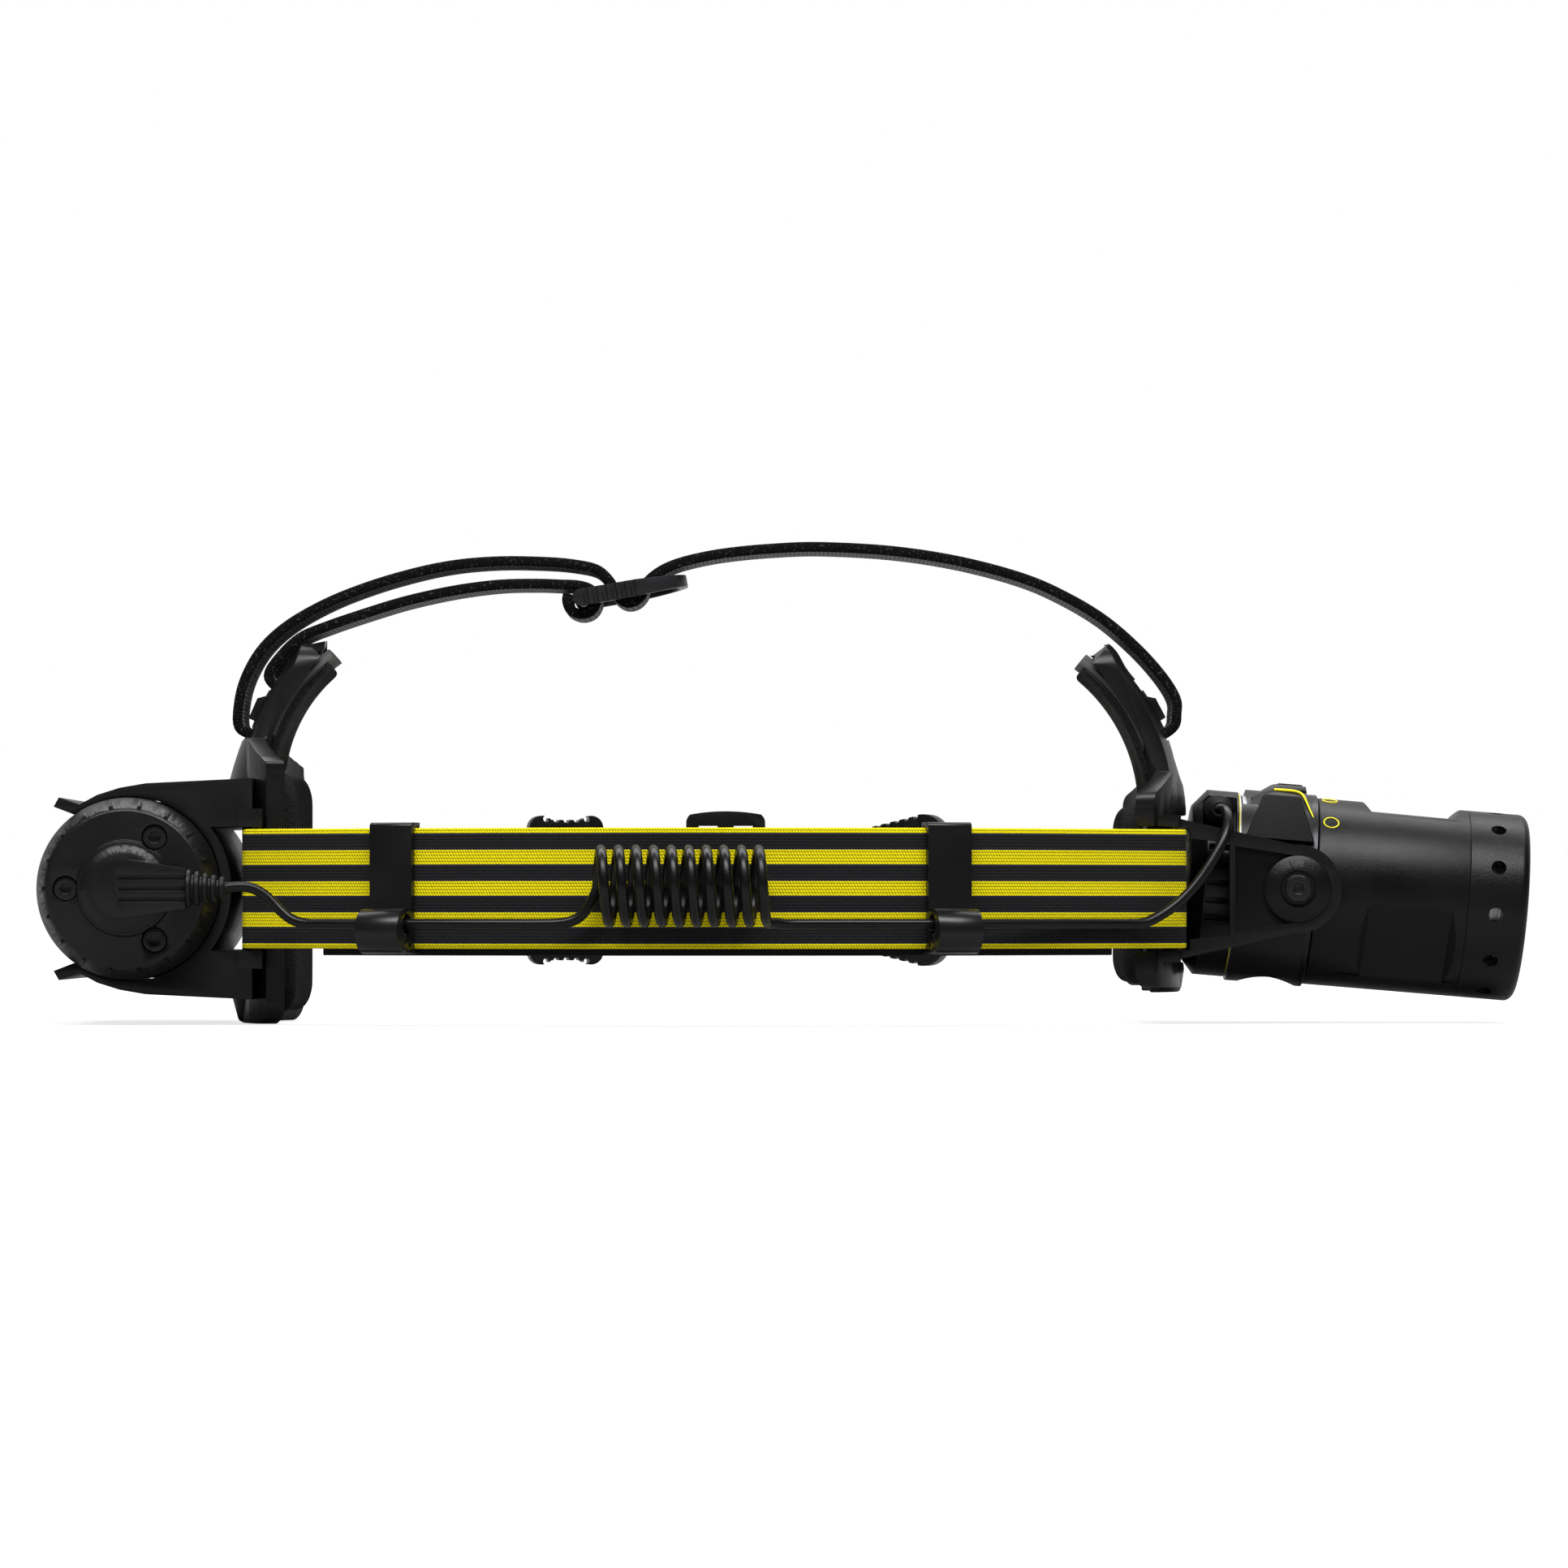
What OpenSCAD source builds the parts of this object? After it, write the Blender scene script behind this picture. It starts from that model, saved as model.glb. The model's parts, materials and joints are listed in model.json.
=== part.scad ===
// Miner's cap lamp: a tilting, focusing lamp head on a forehead bracket, a drum
// battery in a clip at the back of the head, a striped elastic headband, a top
// strap, and a coiled lead clipped along the near side of the band.
// +X points forward to the lamp and +Z up. The origin is the centre of the head
// opening, level with the middle of the headband. The near side is -Y.

/* [Headband] */
// Width of the striped band
band_w = 32; // [28:1:34]
// Thickness of the striped band
band_t = 2; // [1.6:0.1:2.2]
// Half the width of the head loop, to the band's outer face
loop_half_w = 78; // [74:1:84]
// Radius of the band at the sides of the head
side_r = 300; // [260:10:360]
// Half the length of the side arc
side_half_l = 30; // [24:1:36]
// Thickness of the grip lining behind the near band
lining_t = 1.2; // [0.8:0.1:1.6]
// How far the lining hangs below the band
lining_drop = 1.8; // [0:0.2:2.4]

/* [Brackets] */
// Outer face of the front bracket, from the centre of the head
front_x = 128.5; // [126:0.5:132]
// Outer face of the rear bracket, from the centre of the head
rear_x = 128; // [126:0.5:131]
// Thickness of both brackets
plate_t = 4.4; // [3.6:0.1:5]
// Horizontal radius of the front bracket
front_plate_r = 76; // [70:1:84]
// Horizontal radius of the rear bracket
rear_plate_r = 85; // [78:1:95]
// Vertical radius of the front bracket's upper arm
front_arm_r = 57; // [54:1:62]
// Vertical radius of the rear bracket's upper arm
rear_arm_r = 51; // [49:1:56]
// Half width of the upper arms
arm_half_w = 22; // [19:0.5:24]
// Thickness of the lower foam pads
pad_t = 7; // [5:0.5:8]
// Thickness of the upper foam pads
upper_pad_t = 4.8; // [4:0.2:6]
// Radius of the bars that the band folds round
bar_r = 1.5; // [1.2:0.1:1.8]

/* [Top strap] */
// Width of the top strap
strap_w = 25; // [20:1:26]
// Thickness of the top strap
strap_t = 2.4; // [1.8:0.1:2.6]

/* [Battery] */
// Outer diameter of the battery drum
drum_d = 48.8; // [47:0.2:50]
// Length of the coned part of each end cap
cone_l = 9; // [6:0.5:10]
// Diameter of the flat end faces
face_d = 42; // [40:0.5:44]
// Wall of the drum shell
drum_wall = 1.6; // [1.2:0.1:2]
// Gap between the drum and its cradle
cradle_gap = 0.4; // [0.3:0.05:0.6]
// Wall of the cradle's clip
cradle_wall = 2.6; // [2:0.1:3]
// Length of the cradle along the drum
cradle_l = 80; // [74:1:84]
// Diameter of one battery cell
cell_d = 18.4; // [18:0.1:18.8]
// Length of one battery cell
cell_l = 65; // [64:0.5:68]
// Room beyond the cells at each end of the drum
end_room = 19.5; // [18.5:0.5:22]

/* [Lamp] */
// Distance of the tilt pivot in front of the front bracket
pivot_reach = 30; // [29.5:0.5:33]
// Downward tilt of the lamp at rest, in degrees
lamp_tilt = 4.75; // [0:0.25:10]
// Diameter of the focus sleeve
lamp_d = 51; // [50:0.2:52]
// Distance from the pivot to the front rim
lamp_front_l = 63.1; // [62:0.1:68]
// Distance from the pivot to the back of the rear cap
lamp_rear_l = 28.6; // [28:0.1:29]
// Depth of the three finger flats on the sleeve
flat_depth = 2.6; // [1.5:0.1:2.8]
// Turn of the finger flats towards the near side, in degrees
flat_roll = 2.2; // [0:0.2:6]
// Turn of the vent holes towards the near side, in degrees
lamp_roll = 6; // [0:1:10]
// Number of vent holes round the front bezel
vent_count = 12; // [8:1:14]
// Diameter of the vent holes
vent_d = 3.4; // [2.5:0.1:4]
// Diameter of the front glass
glass_d = 45; // [43:0.5:45]
// Travel of the lens between flood and spot
lens_travel = 5; // [3:0.5:5]

/* [Yoke] */
// Outer distance between the two yoke arms
yoke_w = 62; // [61:0.5:64]
// Thickness of each yoke arm
yoke_t = 3.8; // [3.2:0.1:3.8]
// Radius of the yoke arm's round end
yoke_end_r = 11.9; // [10.5:0.1:12.5]
// Diameter of the pivot screws
pivot_d = 5; // [4:0.5:6]
// Diameter of the coned pivot washers
cone_washer_d = 18.6; // [16:0.2:20]

/* [Lead] */
// Diameter of the lead
lead_d = 2.8; // [2.4:0.1:3]
// Number of turns in the coil
coil_turns = 9.75; // [7.75:1:9.75]
// Pitch of the coil
coil_pitch = 4.58; // [4.2:0.02:4.6]
// Radius of the coil to the middle of the lead
coil_r = 9.45; // [8.6:0.05:9.6]

/* [Hidden] */

fine = 96;
pivot_x = front_x + pivot_reach;
round_n = 48;
touch = 0.01;
fold_gap = 0.15;

// Colours
black_plastic = [0.13, 0.13, 0.14];
soft_black = [0.10, 0.10, 0.11];
dark_metal = [0.20, 0.20, 0.21];
bright_metal = [0.62, 0.63, 0.65];
foam_grey = [0.17, 0.17, 0.18];
band_yellow = [0.95, 0.90, 0.05];
strap_grey = [0.22, 0.22, 0.23];
lead_black = [0.09, 0.09, 0.10];
board_green = [0.10, 0.35, 0.18];

// ---------------------------------------------------------------- headband
// The band's outer face runs along a flat side arc and, towards each end, an arc
// that leads tangentially onto the bar that the band folds round.
rear_bar = [rear_x - 6.6, -41];
front_bar = [front_x - 3.7, -31.5];
fold_in = band_t + bar_r + fold_gap;
side_c = [0, side_r - loop_half_w];
join_a = asin(side_half_l / side_r);
join_in = [(side_r - fold_in) * sin(join_a), side_c[1] - (side_r - fold_in) * cos(join_a)];

function chord_a(bar) = atan2(bar[1] - join_in[1], bar[0] - join_in[0]);
function end_a(bar) = 2 * chord_a(bar) - join_a;
function end_r(bar) = norm(bar - join_in) / (2 * sin(chord_a(bar) - join_a)) + fold_in;
function end_c(bar) = join_in + (end_r(bar) - fold_in) * [-sin(join_a), cos(join_a)];

// Place on the near band's outer face at x: [x, y, heading]
function half_at(x, bar) = x <= side_half_l
    ? [x, side_c[1] - side_r * cos(asin(x / side_r)), asin(x / side_r)]
    : let (a = asin((x - end_c(bar)[0]) / end_r(bar)))
      [x, end_c(bar)[1] - end_r(bar) * cos(a), a];
function band_at(x) = x >= 0
    ? half_at(x, front_bar)
    : let (h = half_at(-x, rear_bar)) [x, h[1], -h[2]];

module at_band(x) {
    p = band_at(x);
    translate([p[0], p[1], 0]) rotate([0, 0, p[2]]) children();
}

// Extrudes a profile drawn outward (x) and up (y) from the band's face
module across(w) {
    rotate([90, 0, -90]) linear_extrude(w, center = true) children();
}

module arc_strip(c, r, a0, a1, t, z0, h) {
    translate([c[0], c[1], 0])
        rotate([0, 0, a0])
            rotate_extrude(angle = a1 - a0, $fn = 180)
                translate([r - t, z0]) square([t, h]);
}

// One half of the band from the side arc towards a bar, drawn towards +X
module half_strip(bar, inset, t, z0, h, trim) {
    trim_a = trim / end_r(bar) * 180 / PI;
    arc_strip(end_c(bar), end_r(bar) - inset, join_a - 90, end_a(bar) - 90 - trim_a, t, z0, h);
}

module band_fold(bar) {
    r_in = bar_r + fold_gap;
    converge = 12;
    tail_l = 15;
    step = 0.02;
    a = end_a(bar);
    translate([bar[0], bar[1], 0]) rotate([0, 0, a - 90])
        translate([r_in + band_t * 0.3, -0.5, -band_w * 0.4]) cube([band_t * 0.4, 1, band_w * 0.8]);
    arc_strip(bar, r_in + band_t - step, a - 90, a + 90 + converge, band_t - 2 * step,
        step - band_w / 2, band_w - 2 * step);
    translate([bar[0], bar[1], 0])
        rotate([0, 0, a + 90 + converge])
            translate([r_in + 0.06, -0.4, -band_w / 2 + 0.05])
                cube([band_t - 0.12, tail_l + 0.4, band_w - 0.1]);
}

// Short core inside the band that makes two arcs one piece where they meet
module splice(x, inset, t, z0, h) {
    at_band(x) translate([-1.5, inset + t * 0.3, z0 + h * 0.1]) cube([3, t * 0.4, h * 0.8]);
}

module near_layer(inset, t, z0, h, trim) {
    arc_strip(side_c, side_r - inset, -90 - join_a, -90 + join_a, t, z0, h);
    half_strip(front_bar, inset, t, z0, h, trim);
    mirror([1, 0, 0]) half_strip(rear_bar, inset, t, z0, h, trim);
    for (s = [-1, 1]) splice(s * side_half_l, inset, t, z0, h);
}

module headband_near() color(band_yellow) {
    near_layer(0, band_t, -band_w / 2, band_w, 0);
    band_fold(front_bar);
    mirror([1, 0, 0]) band_fold(rear_bar);
}

lining_gap = 1.6;
module band_lining() color(strap_grey)
    near_layer(band_t + lining_gap, lining_t, -band_w / 2 - lining_drop, band_w, 22);

// Far side: a second ply runs from each bar to the slider and the adjuster
slider_x = -42.5;
adjuster_x = 57;
ply_gap = 0.2;
module headband_far() color(band_yellow) mirror([0, 1, 0]) {
    near_layer(0, band_t, -band_w / 2, band_w, 0);
    band_fold(front_bar);
    mirror([1, 0, 0]) band_fold(rear_bar);
    far_ply(front_bar, adjuster_x);
    mirror([1, 0, 0]) far_ply(rear_bar, -slider_x);
}

module far_ply(bar, x) {
    a = half_at(x, bar)[2];
    trim_a = 15 / end_r(bar) * 180 / PI;
    arc_strip(end_c(bar), end_r(bar) - band_t + touch, a - 90, end_a(bar) - 90 - trim_a,
        band_t, -band_w / 2, band_w);
}

// Flat frame round the two plies, with finger scallops above and below
frame_clear = 0.4;
module band_frame(l, grip, wall) {
    inner_h = band_w + 2 * frame_clear;
    depth = 2 * band_t + 2 * frame_clear;
    rotate([90, 0, 0]) difference() {
        translate([0, 0, -depth + frame_clear - wall])
            linear_extrude(depth + 2 * wall) children();
        translate([-l / 2 - 5, -inner_h / 2, -depth + frame_clear])
            cube([l + 10, inner_h, depth]);
        for (s = [-1, 1])
            translate([s * l / 4 - l * 0.13, -band_w / 2 + 1.5, 0])
                cube([l * 0.26, band_w - 3, wall + 1]);
    }
}

slider_l = 21;
slider_h = 42.3;
module far_slider() color(black_plastic)
    mirror([0, 1, 0]) at_band(slider_x) band_frame(slider_l, 5, 1.6)
        difference() {
            union() {
                square([slider_l, slider_h - 7], center = true);
                square([slider_l - 7, slider_h - 2.4], center = true);
                for (sx = [-1, 1], sy = [-1, 1])
                    translate([sx * (slider_l / 2 - 3.5), sy * (slider_h / 2 - 3.5)])
                        circle(3.5, $fn = round_n);
            }
            for (i = [-2 : 2], s = [-1, 1])
                translate([i * 2.9, s * (slider_h / 2 - 1.2 + abs(i) * 0.15)])
                    circle(0.9, $fn = 24);
        }

adjuster_l = 21.5;
adjuster_h = 43;
module far_adjuster() color(black_plastic)
    mirror([0, 1, 0]) at_band(adjuster_x) band_frame(adjuster_l, 5, 1.6)
        difference() {
            union() {
                polygon([[-adjuster_l / 2, -18], [4, -adjuster_h / 2], [4, adjuster_h / 2],
                    [-adjuster_l / 2, 18]]);
                square([adjuster_l, adjuster_h - 12], center = true);
                for (s = [-1, 1])
                    translate([4, s * (adjuster_h / 2 - 6)]) circle(6, $fn = round_n);
            }
            for (i = [0 : 4], s = [-1, 1])
                translate([-adjuster_l / 2 + 1.8 + i * 2.7, s * (18.5 + i * 0.6)])
                    circle(0.7, $fn = 24);
        }

// Arched keeper clipped over the far band's top edge
keeper_x = 3.5;
keeper_l = 22.5;
keeper_h = 6.5;
module band_keeper() color(black_plastic) mirror([0, 1, 0]) at_band(keeper_x) {
    t = 2;
    clear = 0.3;
    difference() {
        rotate([90, 0, 0]) translate([0, 0, -t / 2 - band_t / 2])
            linear_extrude(t) intersection() {
                translate([-keeper_l / 2, band_w / 2 + clear]) square([keeper_l, keeper_h]);
                translate([0, band_w / 2 + keeper_h - 56]) circle(56, $fn = 180);
                union() {
                    translate([-keeper_l / 2, 0]) square([keeper_l, band_w / 2 + keeper_h - 3]);
                    translate([-keeper_l / 2 + 3, 0]) square([keeper_l - 6, band_w]);
                    for (s = [-1, 1])
                        translate([s * (keeper_l / 2 - 3), band_w / 2 + keeper_h - 3.3])
                            circle(3, $fn = round_n);
                }
            }
        for (s = [-1, 1])
            translate([s * 5, band_t / 2, band_w / 2 + 1.6]) cube([5.4, 10, 1.4], center = true);
    }
    for (y = [clear + band_t, -clear - 1.4])
        translate([-keeper_l / 2, y, band_w / 2 - 5]) cube([keeper_l, 1.4, 5 + clear + touch]);
    translate([-keeper_l / 2, -clear - 1.4, band_w / 2 + clear])
        cube([keeper_l, band_t + 2 * clear + 2.8, 0.9]);
}

// Hook clips on the near band that carry the lead
clip_w = 12;
clip_t = 2.2;
clip_clear = 0.15;
lead_out = 5.2;
lead_z = -9.4;
rear_clip_x = -83.1;
front_clip_x = 63.2;
loop_bore_r = 2.75;
module clip_profile() difference() {
    union() {
        translate([clip_clear, -14]) square([clip_t, band_w / 2 + 14]);
        translate([clip_clear, band_w / 2 + clip_clear]) square([clip_t - 1.3, 1.3]);
        translate([clip_clear + clip_t - 1.3, band_w / 2 + clip_clear]) circle(1.3, $fn = round_n);
        translate([-band_t - clip_clear - 1.2, band_w / 2 + clip_clear])
            square([band_t + 2 * clip_clear + 2, 1.3]);
        translate([-band_t - clip_clear - 1.2, band_w / 2 - 5]) square([1.2, 5.2]);
        translate([6, lead_z - 1.9]) circle(6, $fn = round_n);
        translate([clip_clear, lead_z - 7.9]) square([6 - clip_clear, 12]);
        translate([-band_t - clip_clear - 1.2, -band_w / 2 - clip_clear - 1.15])
            square([band_t + 6, 1.15]);
        translate([-band_t - clip_clear - 1.2, -band_w / 2 - clip_clear - 1.1]) square([1.2, 5]);
    }
    translate([clip_clear + clip_t + 2.4, lead_z + 4.1 + 2.4]) circle(2.4, $fn = round_n);
    translate([clip_clear + clip_t, lead_z + 6.5]) square([12, 6]);
    translate([lead_out, lead_z]) circle(loop_bore_r, $fn = round_n);
    translate([lead_out, lead_z]) rotate(-62) translate([0, -0.25]) square([12, 0.5]);
    translate([3.4, lead_z - 5.4]) circle(0.7, $fn = 24);
}

module cable_clip_rear() color(soft_black) at_band(rear_clip_x) across(clip_w) clip_profile();
module cable_clip_front() color(soft_black) at_band(front_clip_x) across(clip_w) clip_profile();

// ---------------------------------------------------------------- brackets
// Both brackets are drawn towards +X; the rear one is mirrored.
module rounded(w, h, r) {
    square([w - 2 * r, h], center = true);
    square([w, h - 2 * r], center = true);
    for (sx = [-1, 1], sy = [-1, 1])
        translate([sx * (w / 2 - r), sy * (h / 2 - r)]) circle(r, $fn = round_n);
}

// Curved plate: a ring segment standing on z0
module plate_arc(x, r, t, z0, z1) {
    translate([x - r, 0, z0]) linear_extrude(z1 - z0) difference() {
        circle(r, $fn = 180);
        circle(r - t, $fn = 180);
        translate([-2 * r + 5, -2 * r]) square([2 * r, 4 * r]);
    }
}

// Upper arm: the plate's section swept back over the head
module arm_arc(x, z, arm_r, plate_r, t, half_w, a0, a1, inset = 0) {
    translate([x - arm_r, 0, z]) rotate([90, 0, 0]) rotate([0, 0, a0])
        rotate_extrude(angle = a1 - a0, $fn = 180) intersection() {
            translate([arm_r - plate_r, 0]) difference() {
                circle(plate_r - inset, $fn = 180);
                circle(plate_r - inset - t, $fn = 180);
            }
            translate([arm_r / 2, -half_w]) square([arm_r, 2 * half_w]);
        }
}

// Turns children about the arm's axis to the height z
module at_arm(x, arm_z, arm_r, z) {
    translate([x - arm_r, 0, arm_z]) rotate([0, -asin((z - arm_z) / arm_r), 0])
        translate([arm_r, 0, 0]) children();
}

// Outline extruded along X; drawn in y and z
module outline_x(x0, x1) {
    translate([x0, 0, 0]) rotate([90, 0, 90]) linear_extrude(x1 - x0) children();
}

slot_low_z = 42.5;
slot_high_z = 56;
slot_h = strap_t + 1.2;
strap_side = 0.75;
module strap_slots(x, arm_z, arm_r) {
    for (z = [slot_low_z, slot_high_z])
        at_arm(x, arm_z, arm_r, z)
            cube([20, strap_w + 2 * strap_side, slot_h], center = true);
}

// Low block above the lower slot that keeps the strap from riding up
module strap_wedge(x, arm_z, arm_r) {
    at_arm(x, arm_z, arm_r, 49.3) translate([-1.5, 0, 0]) rotate([90, 0, 0])
        linear_extrude(strap_w - 4, center = true)
            polygon([[-0.5, -3.5], [2.3, -3.5], [2.5, -3.2], [2.6, 2.5], [2.2, 2.8], [0.9, 3.9],
                [-0.5, 3.9]]);
}

front_arm_z = 22;
front_z0 = -26.6;
front_z1 = 26;
front_shoulder_z = 32;
front_half_w = 36;
front_top_z = 67;
notch_half_h = band_w / 2 + 0.8;
window_half_w = 22.3;
window_z = 19.1;
module front_bracket() color(black_plastic) {
    difference() {
        union() {
            intersection() {
                union() {
                    plate_arc(front_x, front_plate_r, plate_t, front_z0, front_arm_z);
                    shoulders(front_x, front_plate_r, front_arm_z, front_shoulder_z);
                    arm_arc(front_x, front_arm_z, front_arm_r, front_plate_r, plate_t, arm_half_w,
                        0, 53);
                }
                outline_x(40, 140) front_outline();
            }
            strap_wedge(front_x, front_arm_z, front_arm_r);
            for (s = [-1, 1]) bar_lugs(front_bar, s, front_x - 8.5);
        }
        strap_slots(front_x, front_arm_z, front_arm_r);
        translate([front_x - 20, -window_half_w, -window_z])
            cube([40, 2 * window_half_w, 2 * window_z]);
        for (s = [-1, 1])
            translate([front_x - 30, s * 36.5 - 8.5, -notch_half_h]) cube([24.2, 17, 2 * notch_half_h]);
    }
    for (s = [-1, 1]) band_bar(front_bar, s);
    for (s = [-1, 1]) yoke_arm(s);
}

module front_outline() {
    translate([0, (front_z0 + front_z1) / 2]) rounded(2 * front_half_w, front_z1 - front_z0, 5);
    translate([0, (front_top_z + 8) / 2]) rounded(2 * arm_half_w, front_top_z - 8, 8);
    shoulder_outline(front_half_w, front_z1 - 0.5, front_shoulder_z);
}

// Sloping shoulders between the lower plate and the arm
module shoulder_outline(half_w, z0, z1) {
    polygon([[-half_w + 0.3, z0 - 6], [half_w - 0.3, z0 - 6], [half_w - 0.3, z0], [arm_half_w - 0.5, z1],
        [0.5 - arm_half_w, z1], [0.3 - half_w, z0]]);
}

module shoulders(x, plate_r, z0, z1) {
    difference() {
        plate_arc(x, plate_r, plate_t, z0 - touch, z1);
        translate([x - 40, -arm_half_w + 1, z0 - 1]) cube([80, 2 * arm_half_w - 2, 40]);
    }
}

// Vertical bar for the band's fold and the lugs that carry it
bar_half_h = band_w / 2 + 1.6;
module band_bar(bar, side) {
    translate([bar[0], side * -bar[1], -bar_half_h]) cylinder(r = bar_r, h = 2 * bar_half_h, $fn = 32);
}

module bar_lugs(bar, side, x0) {
    for (s = [-1, 1])
        translate([x0, side * -bar[1] - 2.2, s * (notch_half_h + 1.5) - 1.5])
            cube([bar[0] - x0 + bar_r, 4.4, 3]);
    for (s = [-1, 1])
        translate([bar[0], side * -bar[1], s * (notch_half_h + 1.5) - 1.5])
            cylinder(r = 2.2, h = 3, $fn = 32);
}

// Yoke arm: two struts and a recessed web run to the round pivot end
root_x = front_x - 4.4;
root_z = 19.5;
web_x = 140.2;
rim_w = 2.8;
yoke_y = yoke_w / 2 - yoke_t / 2;
strut_a = atan2(root_z - yoke_end_r * 0.97, pivot_x - root_x);
module yoke_arm(side) {
    translate([0, side * yoke_y, 0]) rotate([90, 0, 0]) difference() {
        linear_extrude(yoke_t, center = true) difference() {
            union() {
                polygon([[root_x, -root_z], [pivot_x - 1, -yoke_end_r], [pivot_x - 1, yoke_end_r],
                    [root_x, root_z]]);
                translate([pivot_x, 0]) circle(yoke_end_r, $fn = fine);
            }
            polygon([[root_x - 1, -root_z + 3.1], [front_x + 1, -root_z + 3.1],
                [front_x + 1, -13.6], [web_x, -12.4], [web_x, 12.4], [front_x + 1, 13.6],
                [front_x + 1, root_z - 3.1], [root_x - 1, root_z - 3.1]]);
            translate([pivot_x, 0]) circle(pivot_d / 2 + 0.05, $fn = round_n);
        }
        for (s = [side])
            translate([0, 0, -s * yoke_t / 2 - (s > 0 ? touch : 0.8 - touch)]) linear_extrude(0.8)
                union() {
                    polygon([[web_x + 1.4, -11.6], [pivot_x - 1, -yoke_end_r + rim_w],
                        [pivot_x - 1, yoke_end_r - rim_w], [web_x + 1.4, 11.6]]);
                    translate([pivot_x, 0]) circle(yoke_end_r - rim_w, $fn = fine);
                }
    }
}

rear_arm_z = 28;
rear_z0 = -36.3;
rear_z1 = 36;
rear_shoulder_z = 41;
rear_half_w = 38.5;
rear_top_z = 67;
screw_y = 22;
screw_z = 23.5;
head_seat = 6.1;
head_l = 1.8;
module rear_bracket() color(black_plastic) mirror([1, 0, 0]) {
    difference() {
        union() {
            intersection() {
                union() {
                    plate_arc(rear_x, rear_plate_r, plate_t, rear_z0, rear_arm_z);
                    shoulders(rear_x, rear_plate_r, rear_arm_z, rear_shoulder_z);
                    arm_arc(rear_x, rear_arm_z, rear_arm_r, rear_plate_r, plate_t, arm_half_w,
                        0, 54);
                }
                outline_x(40, 140) rear_outline();
            }
            strap_wedge(rear_x, rear_arm_z, rear_arm_r);
        }
        strap_slots(rear_x, rear_arm_z, rear_arm_r);
        for (sy = [-1, 1], sz = [-1, 1])
            translate([rear_x - 20, sy * screw_y, sz * screw_z]) rotate([0, 90, 0]) {
                cylinder(d = screw_hole_d, h = 30, $fn = 32);
                cylinder(d = screw_head_d + 0.6, h = 20 - head_seat, $fn = round_n);
            }
    }
}

module rear_outline() {
    translate([0, (rear_z0 + rear_z1) / 2]) rounded(2 * rear_half_w, rear_z1 - rear_z0, 6);
    translate([0, (rear_top_z + 8) / 2]) rounded(2 * arm_half_w, rear_top_z - 8, 8);
    shoulder_outline(rear_half_w, rear_z1 - 2, rear_shoulder_z);
}

// Foam pads with rounded edges, and the thin grey plates that carry them
pad_seat = 0.05;
pad_plate_t = 1.2;
module round_strip(r0, z0, z1, t, e) {
    translate([r0 - t + e, z0]) square([t - e, z1 - z0]);
    translate([r0 - t, z0 + e]) square([t, z1 - z0 - 2 * e]);
    for (z = [z0 + e, z1 - e]) translate([r0 - t + e, z]) circle(e, $fn = 32);
}

module lower_pad(x, plate_r, half_a, z0, z1, arm_z, arm_r) {
    lean = z1 > arm_z ? arm_r - sqrt(pow(arm_r, 2) - pow(z1 - arm_z, 2)) : 0;
    r0 = plate_r - plate_t - pad_plate_t - pad_seat - lean;
    translate([x - plate_r, 0, 0]) rotate([0, 0, -half_a])
        rotate_extrude(angle = 2 * half_a, $fn = 180) round_strip(r0, z0, z1, pad_t, 2.4);
}

// Upper pad swept along the arm, hollowed where the strap passes behind it
module upper_pad(x, arm_z, arm_r, plate_r, a0, a1) {
    inset = plate_t + pad_plate_t + pad_seat;
    difference() {
        arm_arc(x, arm_z, arm_r, plate_r, upper_pad_t, arm_half_w - 0.8, a0, a1, inset);
        at_arm(x, arm_z, arm_r, (slot_low_z + slot_high_z) / 2)
            translate([-plate_t - pad_plate_t - 1.9, 0, 0])
                cube([4.4, strap_w + 2, slot_high_z - slot_low_z + 14], center = true);
        // groove pressed into both sides
        for (s = [-1, 1]) translate([0, s * (arm_half_w - 0.8), 0])
            arm_groove(x, arm_z, arm_r - inset - upper_pad_t * 0.62, a0 + 5, a1 - 12);
    }
}

module arm_groove(x, arm_z, r, a0, a1) {
    translate([x - arm_r_of(x), 0, arm_z]) rotate([90, 0, 0]) rotate([0, 0, a0])
        rotate_extrude(angle = a1 - a0, $fn = 180)
            translate([r, 0]) square([0.7, 1.2], center = true);
}
function arm_r_of(x) = x == front_x ? front_arm_r : rear_arm_r;

module pad_plate(x, arm_z, arm_r, plate_r, half_a, z0, a1) {
    r0 = plate_r - plate_t - pad_seat / 2;
    translate([x - plate_t - pad_seat / 2 - pad_plate_t * 0.8, -3, arm_z - 1.5])
        cube([pad_plate_t * 0.5, 6, 3]);
    translate([x - plate_r, 0, 0]) rotate([0, 0, -half_a])
        rotate_extrude(angle = 2 * half_a, $fn = 180)
            translate([r0 - pad_plate_t, z0]) square([pad_plate_t, arm_z - z0]);
    difference() {
        arm_arc(x, arm_z, arm_r, plate_r, pad_plate_t, arm_half_w - 2, 0, a1, plate_t + pad_seat / 2);
        at_arm(x, arm_z, arm_r, (slot_low_z + slot_high_z) / 2)
            cube([40, strap_w + 2, slot_high_z - slot_low_z + 12], center = true);
    }
}

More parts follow.
